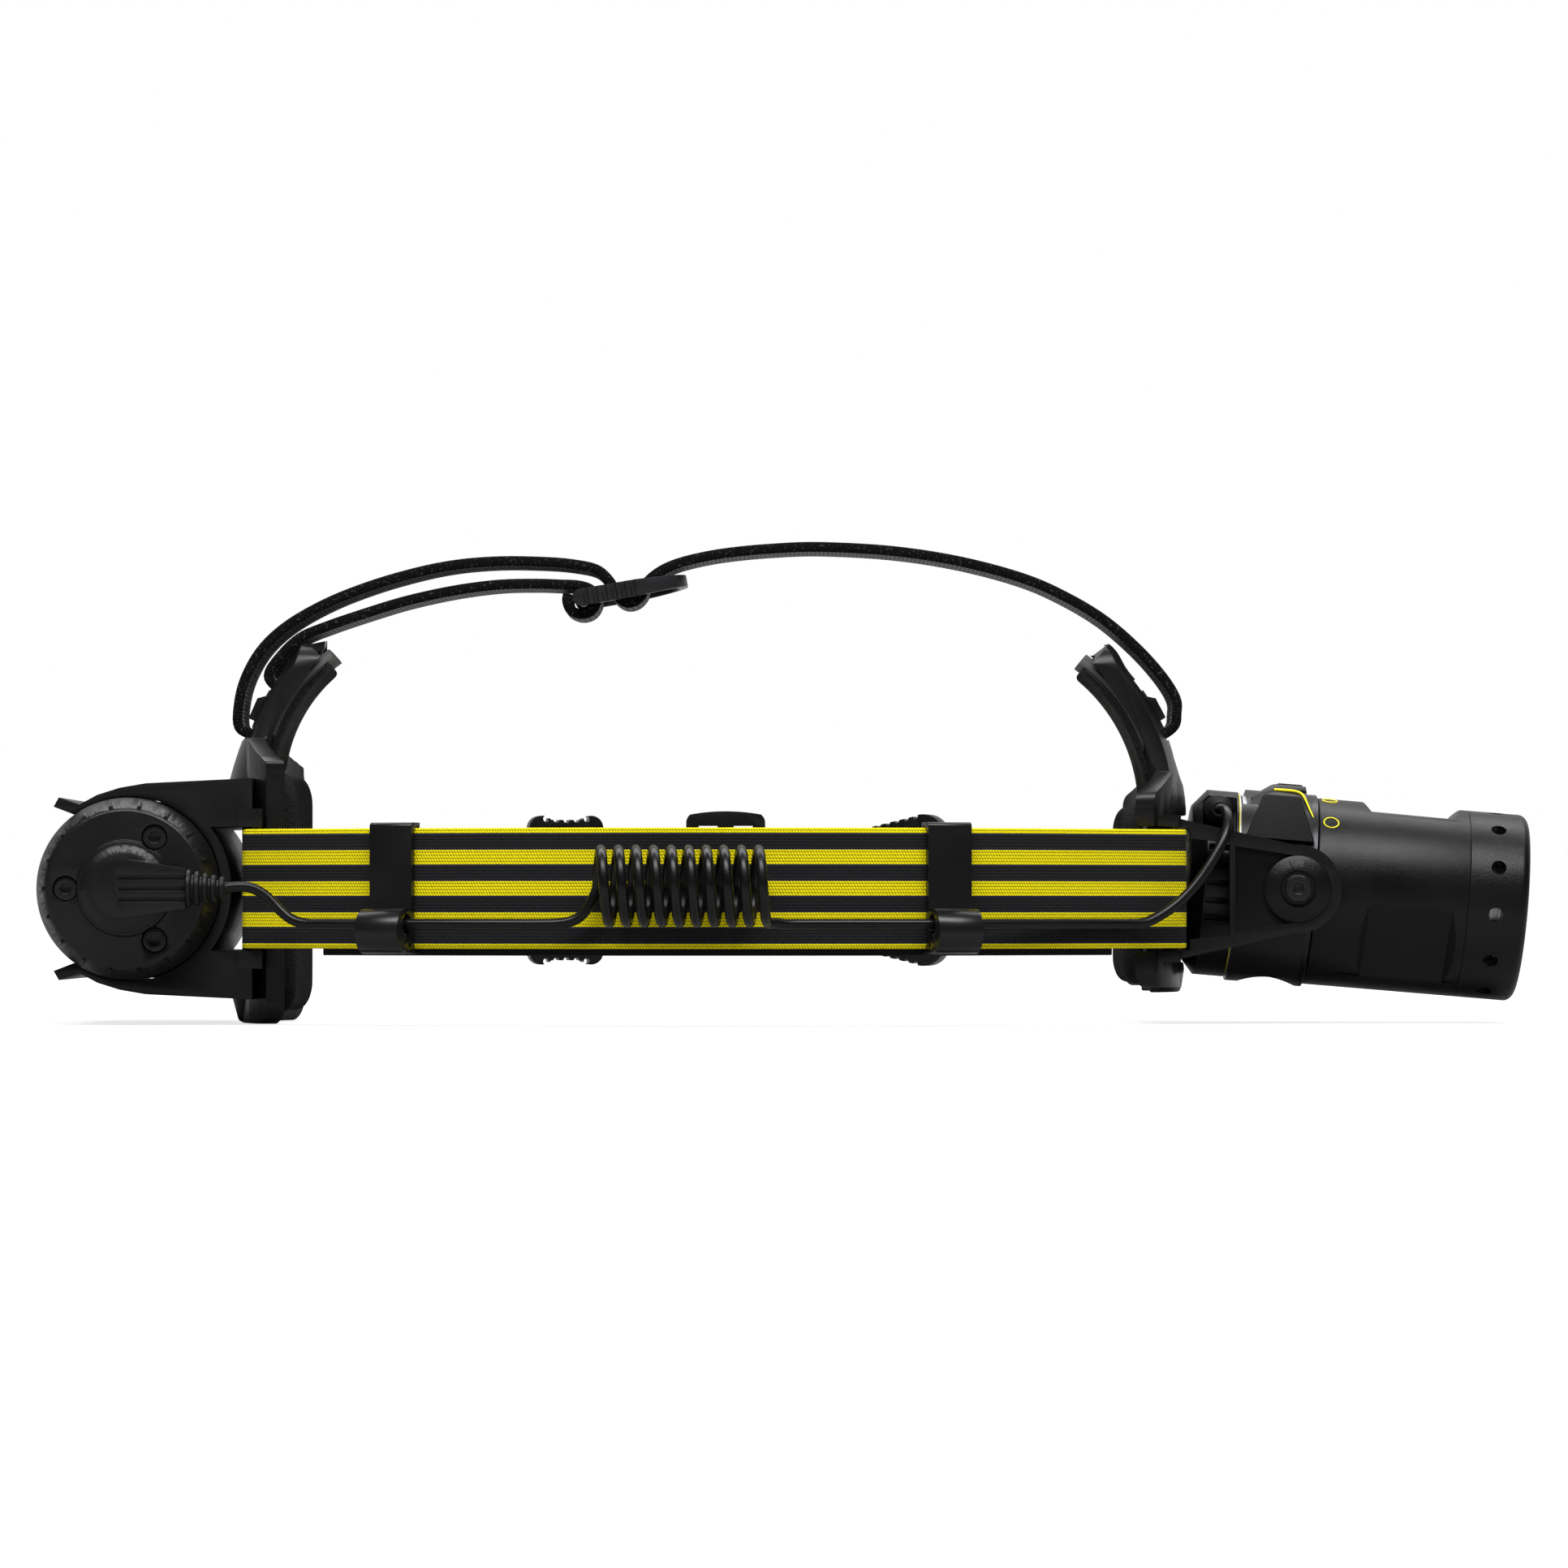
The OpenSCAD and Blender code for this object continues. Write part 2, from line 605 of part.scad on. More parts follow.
module front_pad_plate() color(strap_grey) difference() {
    pad_plate(front_x, front_arm_z, front_arm_r, front_plate_r, 24, front_z0 + 3, 53.5);
    translate([front_x - 20, -window_half_w, -window_z])
        cube([40, 2 * window_half_w, 2 * window_z]);
}
module rear_pad_plate() color(strap_grey) mirror([1, 0, 0]) difference() {
    pad_plate(rear_x, rear_arm_z, rear_arm_r, rear_plate_r, 25, rear_z0 + 3, 54);
    for (sy = [-1, 1], sz = [-1, 1])
        translate([rear_x - 20, sy * screw_y, sz * screw_z]) rotate([0, 90, 0])
            cylinder(d = screw_head_d + 1, h = 30, $fn = 32);
}
module front_pad_lower() color(foam_grey) 
    lower_pad(front_x, front_plate_r, 25, -25.6, 23, front_arm_z, front_arm_r);
module rear_pad_lower() color(foam_grey) mirror([1, 0, 0])
    lower_pad(rear_x, rear_plate_r, 26, -33.3, 31.5, rear_arm_z, rear_arm_r);
module front_pad_upper() color(foam_grey)
    upper_pad(front_x, front_arm_z, front_arm_r, front_plate_r, 3, 51.5);
module rear_pad_upper() color(foam_grey) mirror([1, 0, 0])
    upper_pad(rear_x, rear_arm_z, rear_arm_r, rear_plate_r, 6, 50.5);

// ---------------------------------------------------------------- cradle
// C-shaped clip round the drum, open to the back, on two hollow shoulders
drum_l = cell_l + 2 * end_room;
drum_x = -155.5;
clip_r = drum_d / 2 + cradle_gap;
clip_out_r = clip_r + cradle_wall;
cradle_front_x = -(rear_x - 5.5);
cradle_top_z = 29.7;
slot_half_h = band_w / 2 + 0.6;
jaw_x = -170;
screw_hole_d = 3.2;
screw_head_d = 5.6;

module cradle_side() {
    // upper half of the section, in x and z
    polygon([[jaw_x - 5.7, 22], [jaw_x - 4.3, 24.5], [jaw_x + 1.2, 22.6], [jaw_x + 6, 25.2],
        [jaw_x + 12, 27.1], [jaw_x + 19, 28.3], [cradle_front_x, cradle_top_z],
        [-(rear_x - 12), cradle_top_z], [-(rear_x - 12), slot_half_h], [drum_x, slot_half_h],
        [drum_x, 0], [jaw_x, 14], [jaw_x, 19.8]]);
}

module battery_cradle() color(black_plastic) {
    difference() {
        union() {
            translate([0, cradle_l / 2, 0]) rotate([90, 0, 0]) linear_extrude(cradle_l)
                difference() {
                    union() {
                        intersection() {
                            union() {
                                cradle_side();
                                mirror([0, 1]) cradle_side();
                            }
                            translate([-200, -cradle_top_z]) square([200 + cradle_front_x, 2 * cradle_top_z]);
                        }
                        intersection() {
                            translate([drum_x, 0]) circle(clip_out_r, $fn = 180);
                            translate([drum_x, -40]) square([40, 80]);
                        }
                    }
                    translate([drum_x, 0]) circle(clip_r, $fn = 180);
                    difference() {
                        translate([drum_x, -slot_half_h]) square([60, 2 * slot_half_h]);
                        translate([drum_x, 0]) circle(clip_out_r, $fn = 180);
                    }
                }
            for (s = [-1, 1]) cradle_lug(s);
        }
        // room for the rear bracket's curved face
        translate([-rear_x + rear_plate_r, 0, -60]) cylinder(r = rear_plate_r + pad_seat, h = 120, $fn = 180);
        for (s = [-1, 1]) cradle_pocket(s);
        for (sy = [-1, 1], sz = [-1, 1])
            translate([-rear_x - 9, sy * screw_y, sz * screw_z]) rotate([0, 90, 0])
                cylinder(d = screw_thread_d, h = 30, $fn = 32);
    }
    for (s = [-1, 1]) mirror([1, 0, 0]) band_bar(rear_bar, s);
}

screw_thread_d = 2.5;
module cradle_lug(side) {
    for (s = [-1, 1])
        translate([-rear_x + 2, side * 41 - 2.5, s * (slot_half_h + 2.4) - 2.4])
            cube([6.4, 5, 4.8]);
}

// Hollows the shoulder between the clip and the bracket, leaving screw posts
module cradle_pocket(s) {
    difference() {
        translate([-153, -cradle_l / 2 + 3, s > 0 ? slot_half_h + 2 : -cradle_top_z + 2.4])
            cube([60, cradle_l - 6, cradle_top_z - slot_half_h - 4.4]);
        translate([drum_x, cradle_l, 0]) rotate([90, 0, 0])
            cylinder(r = clip_out_r, h = 2 * cradle_l, $fn = 180);
        for (sy = [-1, 1])
            translate([-160, sy * screw_y - 4, -50]) cube([60, 8, 100]);
    }
}

module cradle_screws() color(bright_metal)
    for (sy = [-1, 1], sz = [-1, 1]) {
        translate([-rear_x + head_seat, sy * screw_y, sz * screw_z]) rotate([0, -90, 0]) {
            translate([0, 0, -touch]) cylinder(d = screw_thread_d - 0.04, h = 11, $fn = 32);
            difference() {
                translate([0, 0, -head_l]) cylinder(d = screw_head_d, h = head_l, $fn = round_n);
                translate([0, 0, -head_l - 0.5]) cylinder(d = 2.8, h = 1.5, $fn = 6);
            }
        }
    }

// ---------------------------------------------------------------- battery
module at_drum() {
    translate([drum_x, 0, 0]) rotate([90, 0, 0]) children();
}

shell_l = drum_l - 2 * cone_l;
module drum_shell() color(black_plastic) at_drum() difference() {
    cylinder(d = drum_d, h = shell_l, center = true, $fn = 180);
    cylinder(d = drum_d - 2 * drum_wall, h = shell_l + 1, center = true, $fn = 180);
}

spigot_l = 7;
spigot_gap = 0.1;
spigot_r = drum_d / 2 - drum_wall - spigot_gap;
spigot_wall = 2.2;
seal_d = 1.5;
seal_groove = 1.3;
post_d = 10.4;
cap_screw_r = 15.8;
cap_head_d = 6.3;
function cap_post_a(i) = 60 + 120 * i;

// End cap drawn with its inner face at z = 0 and its cone above
module end_cap() {
    difference() {
        union() {
            difference() {
                union() {
                    rotate_extrude($fn = 180) polygon([[0, 0], [drum_d / 2, 0], [drum_d / 2, 0.8],
                        [face_d / 2 + 0.5, cone_l - 0.6], [face_d / 2 - 0.3, cone_l], [0, cone_l]]);
                    translate([0, 0, -spigot_l])
                        cylinder(r = spigot_r, h = spigot_l + touch, $fn = 180);
                }
                translate([0, 0, -spigot_l - 1])
                    cylinder(r = spigot_r - spigot_wall, h = spigot_l + cone_l - 2, $fn = 180);
                translate([0, 0, -spigot_l * 0.6]) rotate_extrude($fn = 180)
                    translate([spigot_r - seal_groove, -seal_d / 2]) square([3, seal_d]);
            }
            for (i = [0 : 2]) rotate(cap_post_a(i)) translate([cap_screw_r, 0, -spigot_l + 0.6])
                cylinder(d = post_d, h = spigot_l + cone_l - 3.1, $fn = round_n);
        }
        for (i = [0 : 2]) rotate(cap_post_a(i)) translate([cap_screw_r, 0, 0]) {
            translate([0, 0, cone_l - 3.2]) cylinder(d = cap_head_d + 0.6, h = 10, $fn = round_n);
            translate([0, 0, -20]) cylinder(d = screw_hole_d, h = 60, $fn = 32);
        }
    }
}

boss_l = 1.8;
boss_d = 26;
module near_end_cap() color(black_plastic) at_drum() translate([0, 0, shell_l / 2]) {
    end_cap();
    translate([0, 0, cone_l - touch]) difference() {
        rotate_extrude($fn = fine) polygon([[0, 0], [boss_d / 2, 0], [boss_d / 2 - 0.5, boss_l],
            [0, boss_l]]);
        for (i = [0 : 2]) rotate(cap_post_a(i)) translate([cap_screw_r, 0, -1])
            cylinder(d = cap_head_d + 0.6, h = 10, $fn = round_n);
    }
}

module far_end_cap() color(black_plastic) at_drum() translate([0, 0, -shell_l / 2])
    rotate([180, 0, 0]) end_cap();

module cap_screw() {
    difference() {
        cylinder(d = cap_head_d, h = 2.6, $fn = round_n);
        translate([0, 0, 1.2]) cylinder(d = 3.4, h = 3, $fn = 6);
    }
    translate([0, 0, -14]) cylinder(d = screw_hole_d - 0.3, h = 14 + touch, $fn = 32);
}

module cap_screws() color(dark_metal) at_drum() for (end = [0, 1])
    rotate([180 * end, 0, 0]) for (i = [0 : 2])
        rotate(cap_post_a(i)) translate([cap_screw_r, 0, drum_l / 2 - 3.2]) cap_screw();

cell_r0 = (cell_d + 0.6) / sqrt(3);
module battery_cells() color([0.15, 0.35, 0.6]) at_drum() for (i = [0 : 2])
    rotate(120 * i) translate([cell_r0, 0, 0]) {
        cylinder(d = cell_d, h = cell_l, center = true, $fn = round_n);
        translate([0, 0, cell_l / 2 - touch]) cylinder(d = 5.5, h = 1.2, $fn = 32);
    }

holder_l = 5;
module cell_holders() color(black_plastic) at_drum() for (s = [-1, 1]) difference() {
    translate([0, 0, s * (cell_l / 2 - 1) - holder_l / 2])
        cylinder(r = drum_d / 2 - drum_wall - 0.2, h = holder_l, $fn = fine);
    for (i = [0 : 2]) rotate(120 * i) translate([cell_r0, 0, 0])
        cylinder(d = cell_d + 0.2, h = cell_l + 0.1, center = true, $fn = round_n);
    for (i = [0 : 2]) rotate(120 * i) translate([cell_r0, 0, 0])
        cylinder(d = 6, h = 2 * cell_l, center = true, $fn = round_n);
    for (i = [0 : 2]) rotate(cap_post_a(i)) translate([cap_screw_r, 0, 0])
        cylinder(d = 7.6, h = 2 * cell_l, center = true, $fn = round_n);
}

board_z = cell_l / 2 - 1 + holder_l / 2 + 0.05;
module battery_board() color(board_green) at_drum() {
    difference() {
        translate([0, 0, board_z]) cylinder(r = 19.5, h = 1.6, $fn = fine);
        for (i = [0 : 2]) rotate(cap_post_a(i)) translate([cap_screw_r, 0, 0])
            cylinder(d = post_d + 0.8, h = 2 * cell_l, center = true, $fn = round_n);
    }
    translate([-4, -9, board_z + 1.6 - touch]) cube([8, 6, 1.6]);
    translate([-3, 3, board_z + 1.6 - touch]) cube([6, 5, 2.4]);
}

module drum_seals() color([0.6, 0.15, 0.1]) at_drum() for (s = [-1, 1])
    translate([0, 0, s * (shell_l / 2 - spigot_l * 0.6)]) rotate_extrude($fn = fine)
        translate([spigot_r - seal_groove + seal_d / 2 - 0.08, 0])
            circle(d = seal_d - 0.2, $fn = 24);

// Plug with a round end over the drum's centre and a tapered, grooved grip
plug_y = drum_l / 2 + boss_l;
plug_r = 7.8;
plug_l = 17;
plug_end_w = 10.6;
plug_base_l = 1.8;
plug_h = 8.4;
plug_axis_y = plug_y + plug_base_l + 2.9;
module cable_plug() color(black_plastic) {
    at_drum() translate([0, 0, plug_y - shell_l * 0]) {
        rotate_extrude($fn = fine) polygon([[0, 0], [11.9, 0], [11.6, 0.5], [plug_r + 1.4, plug_base_l],
            [0, plug_base_l]]);
        difference() {
            translate([0, 0, plug_base_l - touch]) linear_extrude(plug_h - plug_base_l) plug_outline();
            for (i = [-1 : 1])
                translate([0, i * 2.9 - 0.65, plug_h - 0.7]) cube([plug_l + 5, 1.3, 2]);
            for (i = [-1 : 1])
                translate([0, i * 2.9, plug_h - 0.7]) cylinder(d = 1.3, h = 2, $fn = 24);
        }
    }
}

module plug_outline() {
    circle(plug_r, $fn = fine);
    polygon([[1, -plug_r], [plug_l, -plug_end_w / 2], [plug_l, plug_end_w / 2], [1, plug_r]]);
}

// Ribbed strain relief: alternating discs on a tapered core, bored for the lead
relief_l = 11;
relief_n = 5;
relief_d0 = 9;
relief_d1 = 6;
module strain_relief() color(soft_black)
    translate([drum_x + plug_l, -plug_axis_y, 0]) rotate([0, 90, 0]) difference() {
        union() {
            cylinder(d1 = relief_d0 - 3, d2 = relief_d1 - 1.6, h = relief_l, $fn = round_n);
            for (i = [0 : relief_n - 1])
                translate([0, 0, i * relief_l / relief_n])
                    cylinder(d = relief_d0 - i * (relief_d0 - relief_d1) / (relief_n - 1),
                        h = relief_l / relief_n * 0.62, $fn = round_n);
        }
        translate([0, 0, relief_l - 3.04]) cylinder(d = lead_d + 0.16, h = 5, $fn = 32);
    }

// ---------------------------------------------------------------- lead
// Catmull-Rom curve through hand-set route points
function spline_pt(p0, p1, p2, p3, t) = 0.5 * ((2 * p1) + (p2 - p0) * t
    + (2 * p0 - 5 * p1 + 4 * p2 - p3) * t * t + (3 * p1 - p0 - 3 * p2 + p3) * t * t * t);
function spline(pts, n) = let (last = len(pts) - 1) concat(
    [for (i = [0 : last - 1], j = [0 : n - 1])
        spline_pt(pts[max(i - 1, 0)], pts[i], pts[i + 1], pts[min(i + 2, last)], j / n)],
    [pts[last]]);

function unit(v) = v / norm(v);
function tangent(p, i) = unit(p[min(i + 1, len(p) - 1)] - p[max(i - 1, 0)]);
function carry(u, t) = unit(u - (u * t) * t);
function frames(p, i, u) = i >= len(p) ? []
    : let (v = carry(u, tangent(p, i))) concat([v], frames(p, i + 1, v));

// Tube of flat-sided rings along the points p; up is the first ring's side
module tube(p, r, sides, up) {
    f = frames(p, 0, up);
    n = len(p);
    pts = [for (i = [0 : n - 1], k = [0 : sides - 1])
        let (t = tangent(p, i), v = f[i], w = cross(t, v), a = 360 / sides * k)
        p[i] + r * (cos(a) * v + sin(a) * w)];
    sides_f = [for (i = [0 : n - 2], k = [0 : sides - 1], h = [0, 1])
        let (a = i * sides + k, b = i * sides + (k + 1) % sides, c = a + sides, d = b + sides)
        h == 0 ? [a, b, c] : [b, d, c]];
    ends_f = concat([for (k = [1 : sides - 2]) [0, k + 1, k]],
        [for (k = [1 : sides - 2]) let (o = (n - 1) * sides) [o, o + k, o + k + 1]]);
    polyhedron(points = pts, faces = [for (q = concat(sides_f, ends_f)) [q[0], q[2], q[1]]]);
}

lead_sides = 8;
coil_x = -28.9;
coil_z = 0.5;
coil_y = -(loop_half_w + lead_d / 2 + coil_r + 0.65);

function on_coil(a) = [coil_x + coil_pitch * a / 360, coil_y + coil_r * cos(a), coil_z + coil_r * sin(a)];
coil_steps = 8;
coil_pts = [for (i = [0 : coil_turns * coil_steps]) on_coil(i * 360 / coil_steps)];

// Least gap between neighbouring turns, measured on the ring centres
coil_gap = min([for (i = [0 : len(coil_pts) - 1], j = [i + 5 : 1 : min(i + 12, len(coil_pts) - 1)])
    norm(coil_pts[i] - coil_pts[j])]) - lead_d;
echo(coil_least_gap = coil_gap);

relief_end = [drum_x + plug_l + relief_l - 3, -plug_axis_y, 0];
rear_join = [-103, -62.2, -9.4];
front_join = [108, -50.6, -9.4];
battery_end_pts = [relief_end, [-127, -plug_axis_y, 0], [-124, -58, -0.3], [-120.5, -57.4, -1.2],
    [-116.5, -57.3, -3.4], [-113, -58.2, -6.4], [-109.6, -59.6, -8.7], [-106, -61, -9.4], rear_join];
rear_pts = [rear_join, [-98, -64.2, -9.4], [-90, -67.3, -9.4], [-82, -70, -9.4],
    [-74, -72.6, -9.4], [-64, -75.4, -9.4], [-54, -77.6, -9.4], [-45, -79.2, -9.4],
    [-38.4, -80, -9.2], [-34.2, -80.3, -8], [-31.4, -80.3, -5.2], [-29.8, -80.15, -2.2]];
front_pts = [[17.6, -87.2, -9.1], [20.4, -85.6, -9.4], [24, -84.3, -9.4], [30, -82.9, -9.4],
    [39, -81, -9.4], [48, -79.2, -9.4], [56, -77.4, -9.4], [64, -74.8, -9.4], [72, -71.6, -9.4],
    [82, -66.4, -9.4], [92, -60.6, -9.4], [100, -55.6, -9.4], front_join];
lamp_end_pts = [front_join, [112, -48.1, -9.4], [117.5, -45.2, -9], [123.5, -42.6, -6.8],
    [130.5, -40, -1.5], [136.3, -38.2, 6], [139.4, -36.4, 12], [140.6, -33.4, 17.4],
    [139.9, -28.5, 20.9], [138.4, -24, 21.6], [138.1, -20.5, 21.6]];

module cable_battery_end() color(lead_black)
    tube(spline(battery_end_pts, 2), lead_d / 2, lead_sides, [0, 0, 1]);
module cable_coiled() color(lead_black)
    tube(concat(rear_pts, coil_pts, front_pts), lead_d / 2, 6, [0, 0, 1]);
module cable_lamp_end() color(lead_black)
    tube(spline(lamp_end_pts, 2), lead_d / 2, lead_sides, [0, 0, 1]);

// ---------------------------------------------------------------- top strap
function arm_pt(x, z, r, off, h) = let (a = asin((h - z) / r)) [x - r + (r + off) * cos(a),
    z + (r + off) * sin(a)];

// Flat ribbon along points in x and z
module ribbon(pts, t, w) {
    p = [for (q = pts) [q[0], q[1], 0]];
    c = spline(p, 3);
    n = len(c);
    left = [for (i = [0 : n - 1]) let (d = tangent(c, i)) [c[i][0] - d[1] * t / 2, c[i][1] + d[0] * t / 2]];
    right = [for (i = [n - 1 : -1 : 0]) let (d = tangent(c, i)) [c[i][0] + d[1] * t / 2, c[i][1] - d[0] * t / 2]];
    rotate([90, 0, 0]) linear_extrude(w, center = true) polygon(concat(left, right));
}

strap_bow = front_plate_r - sqrt(pow(front_plate_r, 2) - pow(strap_w / 2, 2));
strap_in = -plate_t - strap_t / 2 - 0.35 - strap_bow;
function mirror_x(p) = [-p[0], p[1]];
function rear_pt(off, h) = mirror_x(arm_pt(rear_x, rear_arm_z, rear_arm_r, off, h));
function front_pt(off, h) = arm_pt(front_x, front_arm_z, front_arm_r, off, h);

// Slider bars that the strap loops round
left_bar = [-35.1, 79.3];
mid_bar = [-22.1, 81.6];
strap_pts = [
    front_pt(strap_in, 53), front_pt(strap_in, 47.5), front_pt(strap_in + 0.6, slot_low_z + 0.4),
    front_pt(-plate_t / 2, slot_low_z), front_pt(2.2, slot_low_z + 1.1),
    [127, 48], [126.7, 52], [122.8, 57.2], [116.2, 64.5], [106.9, 72.4], [96.2, 78.2], [84.4, 82.6],
    [67.8, 88], [49.7, 91.3], [30, 92.7], [16, 92.3], [4, 91], [-5, 89.2], [-11, 87.4], [-15, 85.4],
    [-17.6, 82.9], [-18.4, 80.3], [-20.2, 78.4], [-22.6, 77.9], [-24.8, 79.2], [-26, 81.6],
    [-28, 84.6], [-31, 86.8], [-36, 87.8], [-44, 88.6], [-58, 89.2], [-71.7, 89], [-86, 86.6],
    [-99, 82.6], [-109, 77.6], [-117, 71.6], [-122.8, 65], [-126.6, 57.5], [-128.2, 50.5],
    rear_pt(2.6, slot_low_z + 0.8), rear_pt(-plate_t / 2, slot_low_z),
    rear_pt(strap_in + 0.6, slot_low_z + 0.4), rear_pt(strap_in, 47), rear_pt(strap_in, 51.5),
    rear_pt(strap_in + 0.6, slot_high_z - 0.4), rear_pt(-plate_t / 2, slot_high_z),
    rear_pt(1.6, slot_high_z + 1.2),
    [-117.4, 62.8], [-111.7, 68.3], [-104.3, 71.5], [-94, 75], [-82.8, 78.4], [-70, 81.2], [-58, 82.8],
    [-48, 83.1], [-41, 82.9], [-35.6, 82.6], [-32.2, 81.3], [-30.9, 78.6], [-32.2, 75.8],
    [-35, 74.8], [-37.8, 75.9], [-38.9, 78.4], [-38.6, 80.4]];

module top_strap() color(strap_grey) ribbon(strap_pts, strap_t, strap_w);

// Slider: two rails with finger ribs, two bars and a rounded ring in front
slide_a = 9.8;
slide_l = 31.4;
slide_t = 4.6;
slide_half_w = strap_w / 2 + 3.4;
mid_s = norm(mid_bar - left_bar);
module top_strap_slider() color(black_plastic)
    translate([left_bar[0], 0, left_bar[1]]) rotate([0, -slide_a, 0]) {
        difference() {
            intersection() {
                translate([0, 0, -slide_t / 2]) linear_extrude(slide_t) difference() {
                    translate([-slide_t / 2, 0]) union() {
                        translate([0, -slide_half_w]) square([slide_l - 12, 2 * slide_half_w]);
                        translate([slide_l - 13, -slide_half_w + 12])
                            square([13, 2 * slide_half_w - 24]);
                        for (s = [-1, 1]) translate([slide_l - 12, s * (slide_half_w - 12)])
                            circle(12, $fn = fine);
                    }
                    translate([-slide_t, -strap_w / 2 - 0.7])
                        square([slide_l - 10.6, strap_w + 1.4]);
                    for (s = [-1, 1]) translate([slide_l - 14, s * (strap_w / 2 - 8)])
                        circle(9.4, $fn = fine);
                    translate([slide_l - 15, -strap_w / 2 + 8]) square([8.8, strap_w - 16]);
                }
                rotate([90, 0, 0]) linear_extrude(60, center = true) {
                    polygon([[0, -slide_t / 2], [mid_s + 2, -slide_t / 2], [slide_l - 4, -1.6],
                        [slide_l, -1.2], [slide_l, 1.4], [slide_l - 4, 1.7], [mid_s + 2, slide_t / 2],
                        [0, slide_t / 2]]);
                    circle(d = slide_t, $fn = round_n);
                }
            }
            for (i = [0 : 5], s = [-1, 1])
                translate([1.4 + i * 2.6, s * (slide_half_w + 0.2), 0.4]) cylinder(r = 0.8, h = 8,
                    center = true, $fn = 24);
        }
        for (x = [0, mid_s]) translate([x, 0, 0]) rotate([90, 0, 0])
            cylinder(r = 1.5, h = strap_w + 3, center = true, $fn = 32);
    }

// ---------------------------------------------------------------- lamp
module at_lamp() {
    translate([pivot_x, 0, 0]) rotate([0, lamp_tilt, 0]) children();
}

module turned(profile) {
    rotate([0, 90, 0]) rotate_extrude($fn = fine) polygon(profile);
}

lamp_r = lamp_d / 2;
cap_r = lamp_r - 0.2;
collar_r = lamp_r + 0.7;
sleeve_bore_r = lamp_r - 3;
tube_r = sleeve_bore_r - 0.05;
carriage_bore_r = 18.8;
collar_x0 = -15.8;
collar_x1 = 4.8;
cap_x1 = -16.4;
bezel_x = lamp_front_l - 16.4;
vent_x = bezel_x + 7;
seam = 0.4;

// Metal housing: bearing lands for the sleeve, cooling discs under the vents,
// a heat spreader behind the light source and a bore that guides the lens
disc_r = sleeve_bore_r - 1;
tube_x1 = lamp_front_l - 6.1;
disc_pitch = 2.2;
disc_l = 0.8;
module lamp_housing() color(bright_metal) at_lamp() difference() {
    turned(concat([[0, 27], [0, 32], [carriage_bore_r, 32], [carriage_bore_r, tube_x1], [20.3, tube_x1]],
        [for (i = [0 : 3], k = [0 : 3]) let (u = tube_x1 - 1 - disc_pitch * i - (k > 1 ? disc_l : 0))
            [k % 3 == 0 ? 20.3 : disc_r, u]],
        [[20.3, bezel_x - 0.7],
        [tube_r, bezel_x - 0.7], [tube_r, 36], [tube_r - 1, 36], [tube_r - 1, 16], [tube_r, 16], [tube_r, -12.4],
        [lamp_r - 1, -12.4], [lamp_r - 1, cap_x1 + 1.1], [19.6, cap_x1 + 1.1], [19.6, 27]]));
    for (i = [0, 1]) rotate([180 * i, 0, 0]) translate([36, -pin_d / 2 - 0.1, 0])
        cube([lens_travel + pin_d + 3, pin_d + 0.2, 30]);
    for (s = [-1, 1]) rotate([90 * s, 0, 0]) cylinder(d = insert_d, h = 40, $fn = round_n);
}

// Fixed collar: finger scallop below, switch block above, pivot seats beside
insert_d = 8;
spacer_d = 10;
spot_l = 0.8;
block_top = 28.2;
block_half_w = 21;
module pivot_collar() color(black_plastic) at_lamp() difference() {
    union() {
        turned([[tube_r + 0.02, collar_x0 + 3.5], [lamp_r - 1 + 0.02, collar_x0 + 3.5],
            [lamp_r - 1 + 0.02, collar_x0], [collar_r, collar_x0], [collar_r, collar_x1],
            [tube_r + 0.02, collar_x1]]);
        intersection() {
            rotate([90, 0, 90]) translate([0, 0, -20]) linear_extrude(40)
                polygon([[-block_half_w, 14], [-12, 24.6], [-7, block_top], [7, block_top], [12, 24.6],
                    [block_half_w, 14], [15, 10], [-15, 10]]);
            rotate([90, 0, 0]) linear_extrude(60, center = true)
                polygon([[-13.4, 10], [-13.4, 23.8], [-7, block_top], [1.6, block_top], [4.2, 12], [4.2, 10]]);
        }
    }
    turned([[0, -30], [lamp_r - 1 + 0.02, -30], [lamp_r - 1 + 0.02, collar_x0 + 3.5],
        [tube_r + 0.02, collar_x0 + 3.5], [tube_r + 0.02, 30], [0, 30]]);
    rotate([90, 0, 0]) translate([-4.6, -collar_r - 16.6, 0])
        cylinder(r = 18.4, h = 80, center = true, $fn = fine);
    // bright housing shows above, behind the block
    translate([collar_x0 - 1, -30, 22]) cube([2.6, 60, 10]);
    for (s = [-1, 1]) rotate([90 * s, 0, 0]) {
        cylinder(d = insert_d, h = 40, $fn = round_n);
        translate([0, 0, collar_r - spot_l]) cylinder(d = spacer_d + 0.4, h = 10, $fn = round_n);
    }
    // well for the button and its switch
    translate([-6.2, -6.2, tube_r + 1]) cube([7.4, 12.4, 10]);
    // groove for the light line
    light_groove(0);
}

// Light line: along the block's near top edge and down its front corner
line_w = 0.9;
module light_groove(gap) {
    translate([-4.5, -8.9, 26.2]) rotate([38, 0, 0])
        translate([0, -line_w / 2 + gap, -0.6]) cube([6.6 - gap, line_w - 2 * gap, 3]);
}

module light_line() color([0.95, 0.9, 0.2]) at_lamp() intersection() {
    light_groove(0.02);
    rotate([90, 0, 90]) translate([0, 0, -20]) linear_extrude(40)
        polygon([[-12, 24.7], [-7, block_top + 0.1], [-7, 20], [-12, 20]]);
}

button_travel = 0.8;
module power_button() color(soft_black) at_lamp() {
    translate([-5.8, -5.8, block_top - 1.6]) cube([6.6, 11.6, 2]);
    translate([-2.5, 0, tube_r + 3.7]) cylinder(d = 4, h = block_top - 1.6 - tube_r - 3.7 + touch, $fn = 32);
}

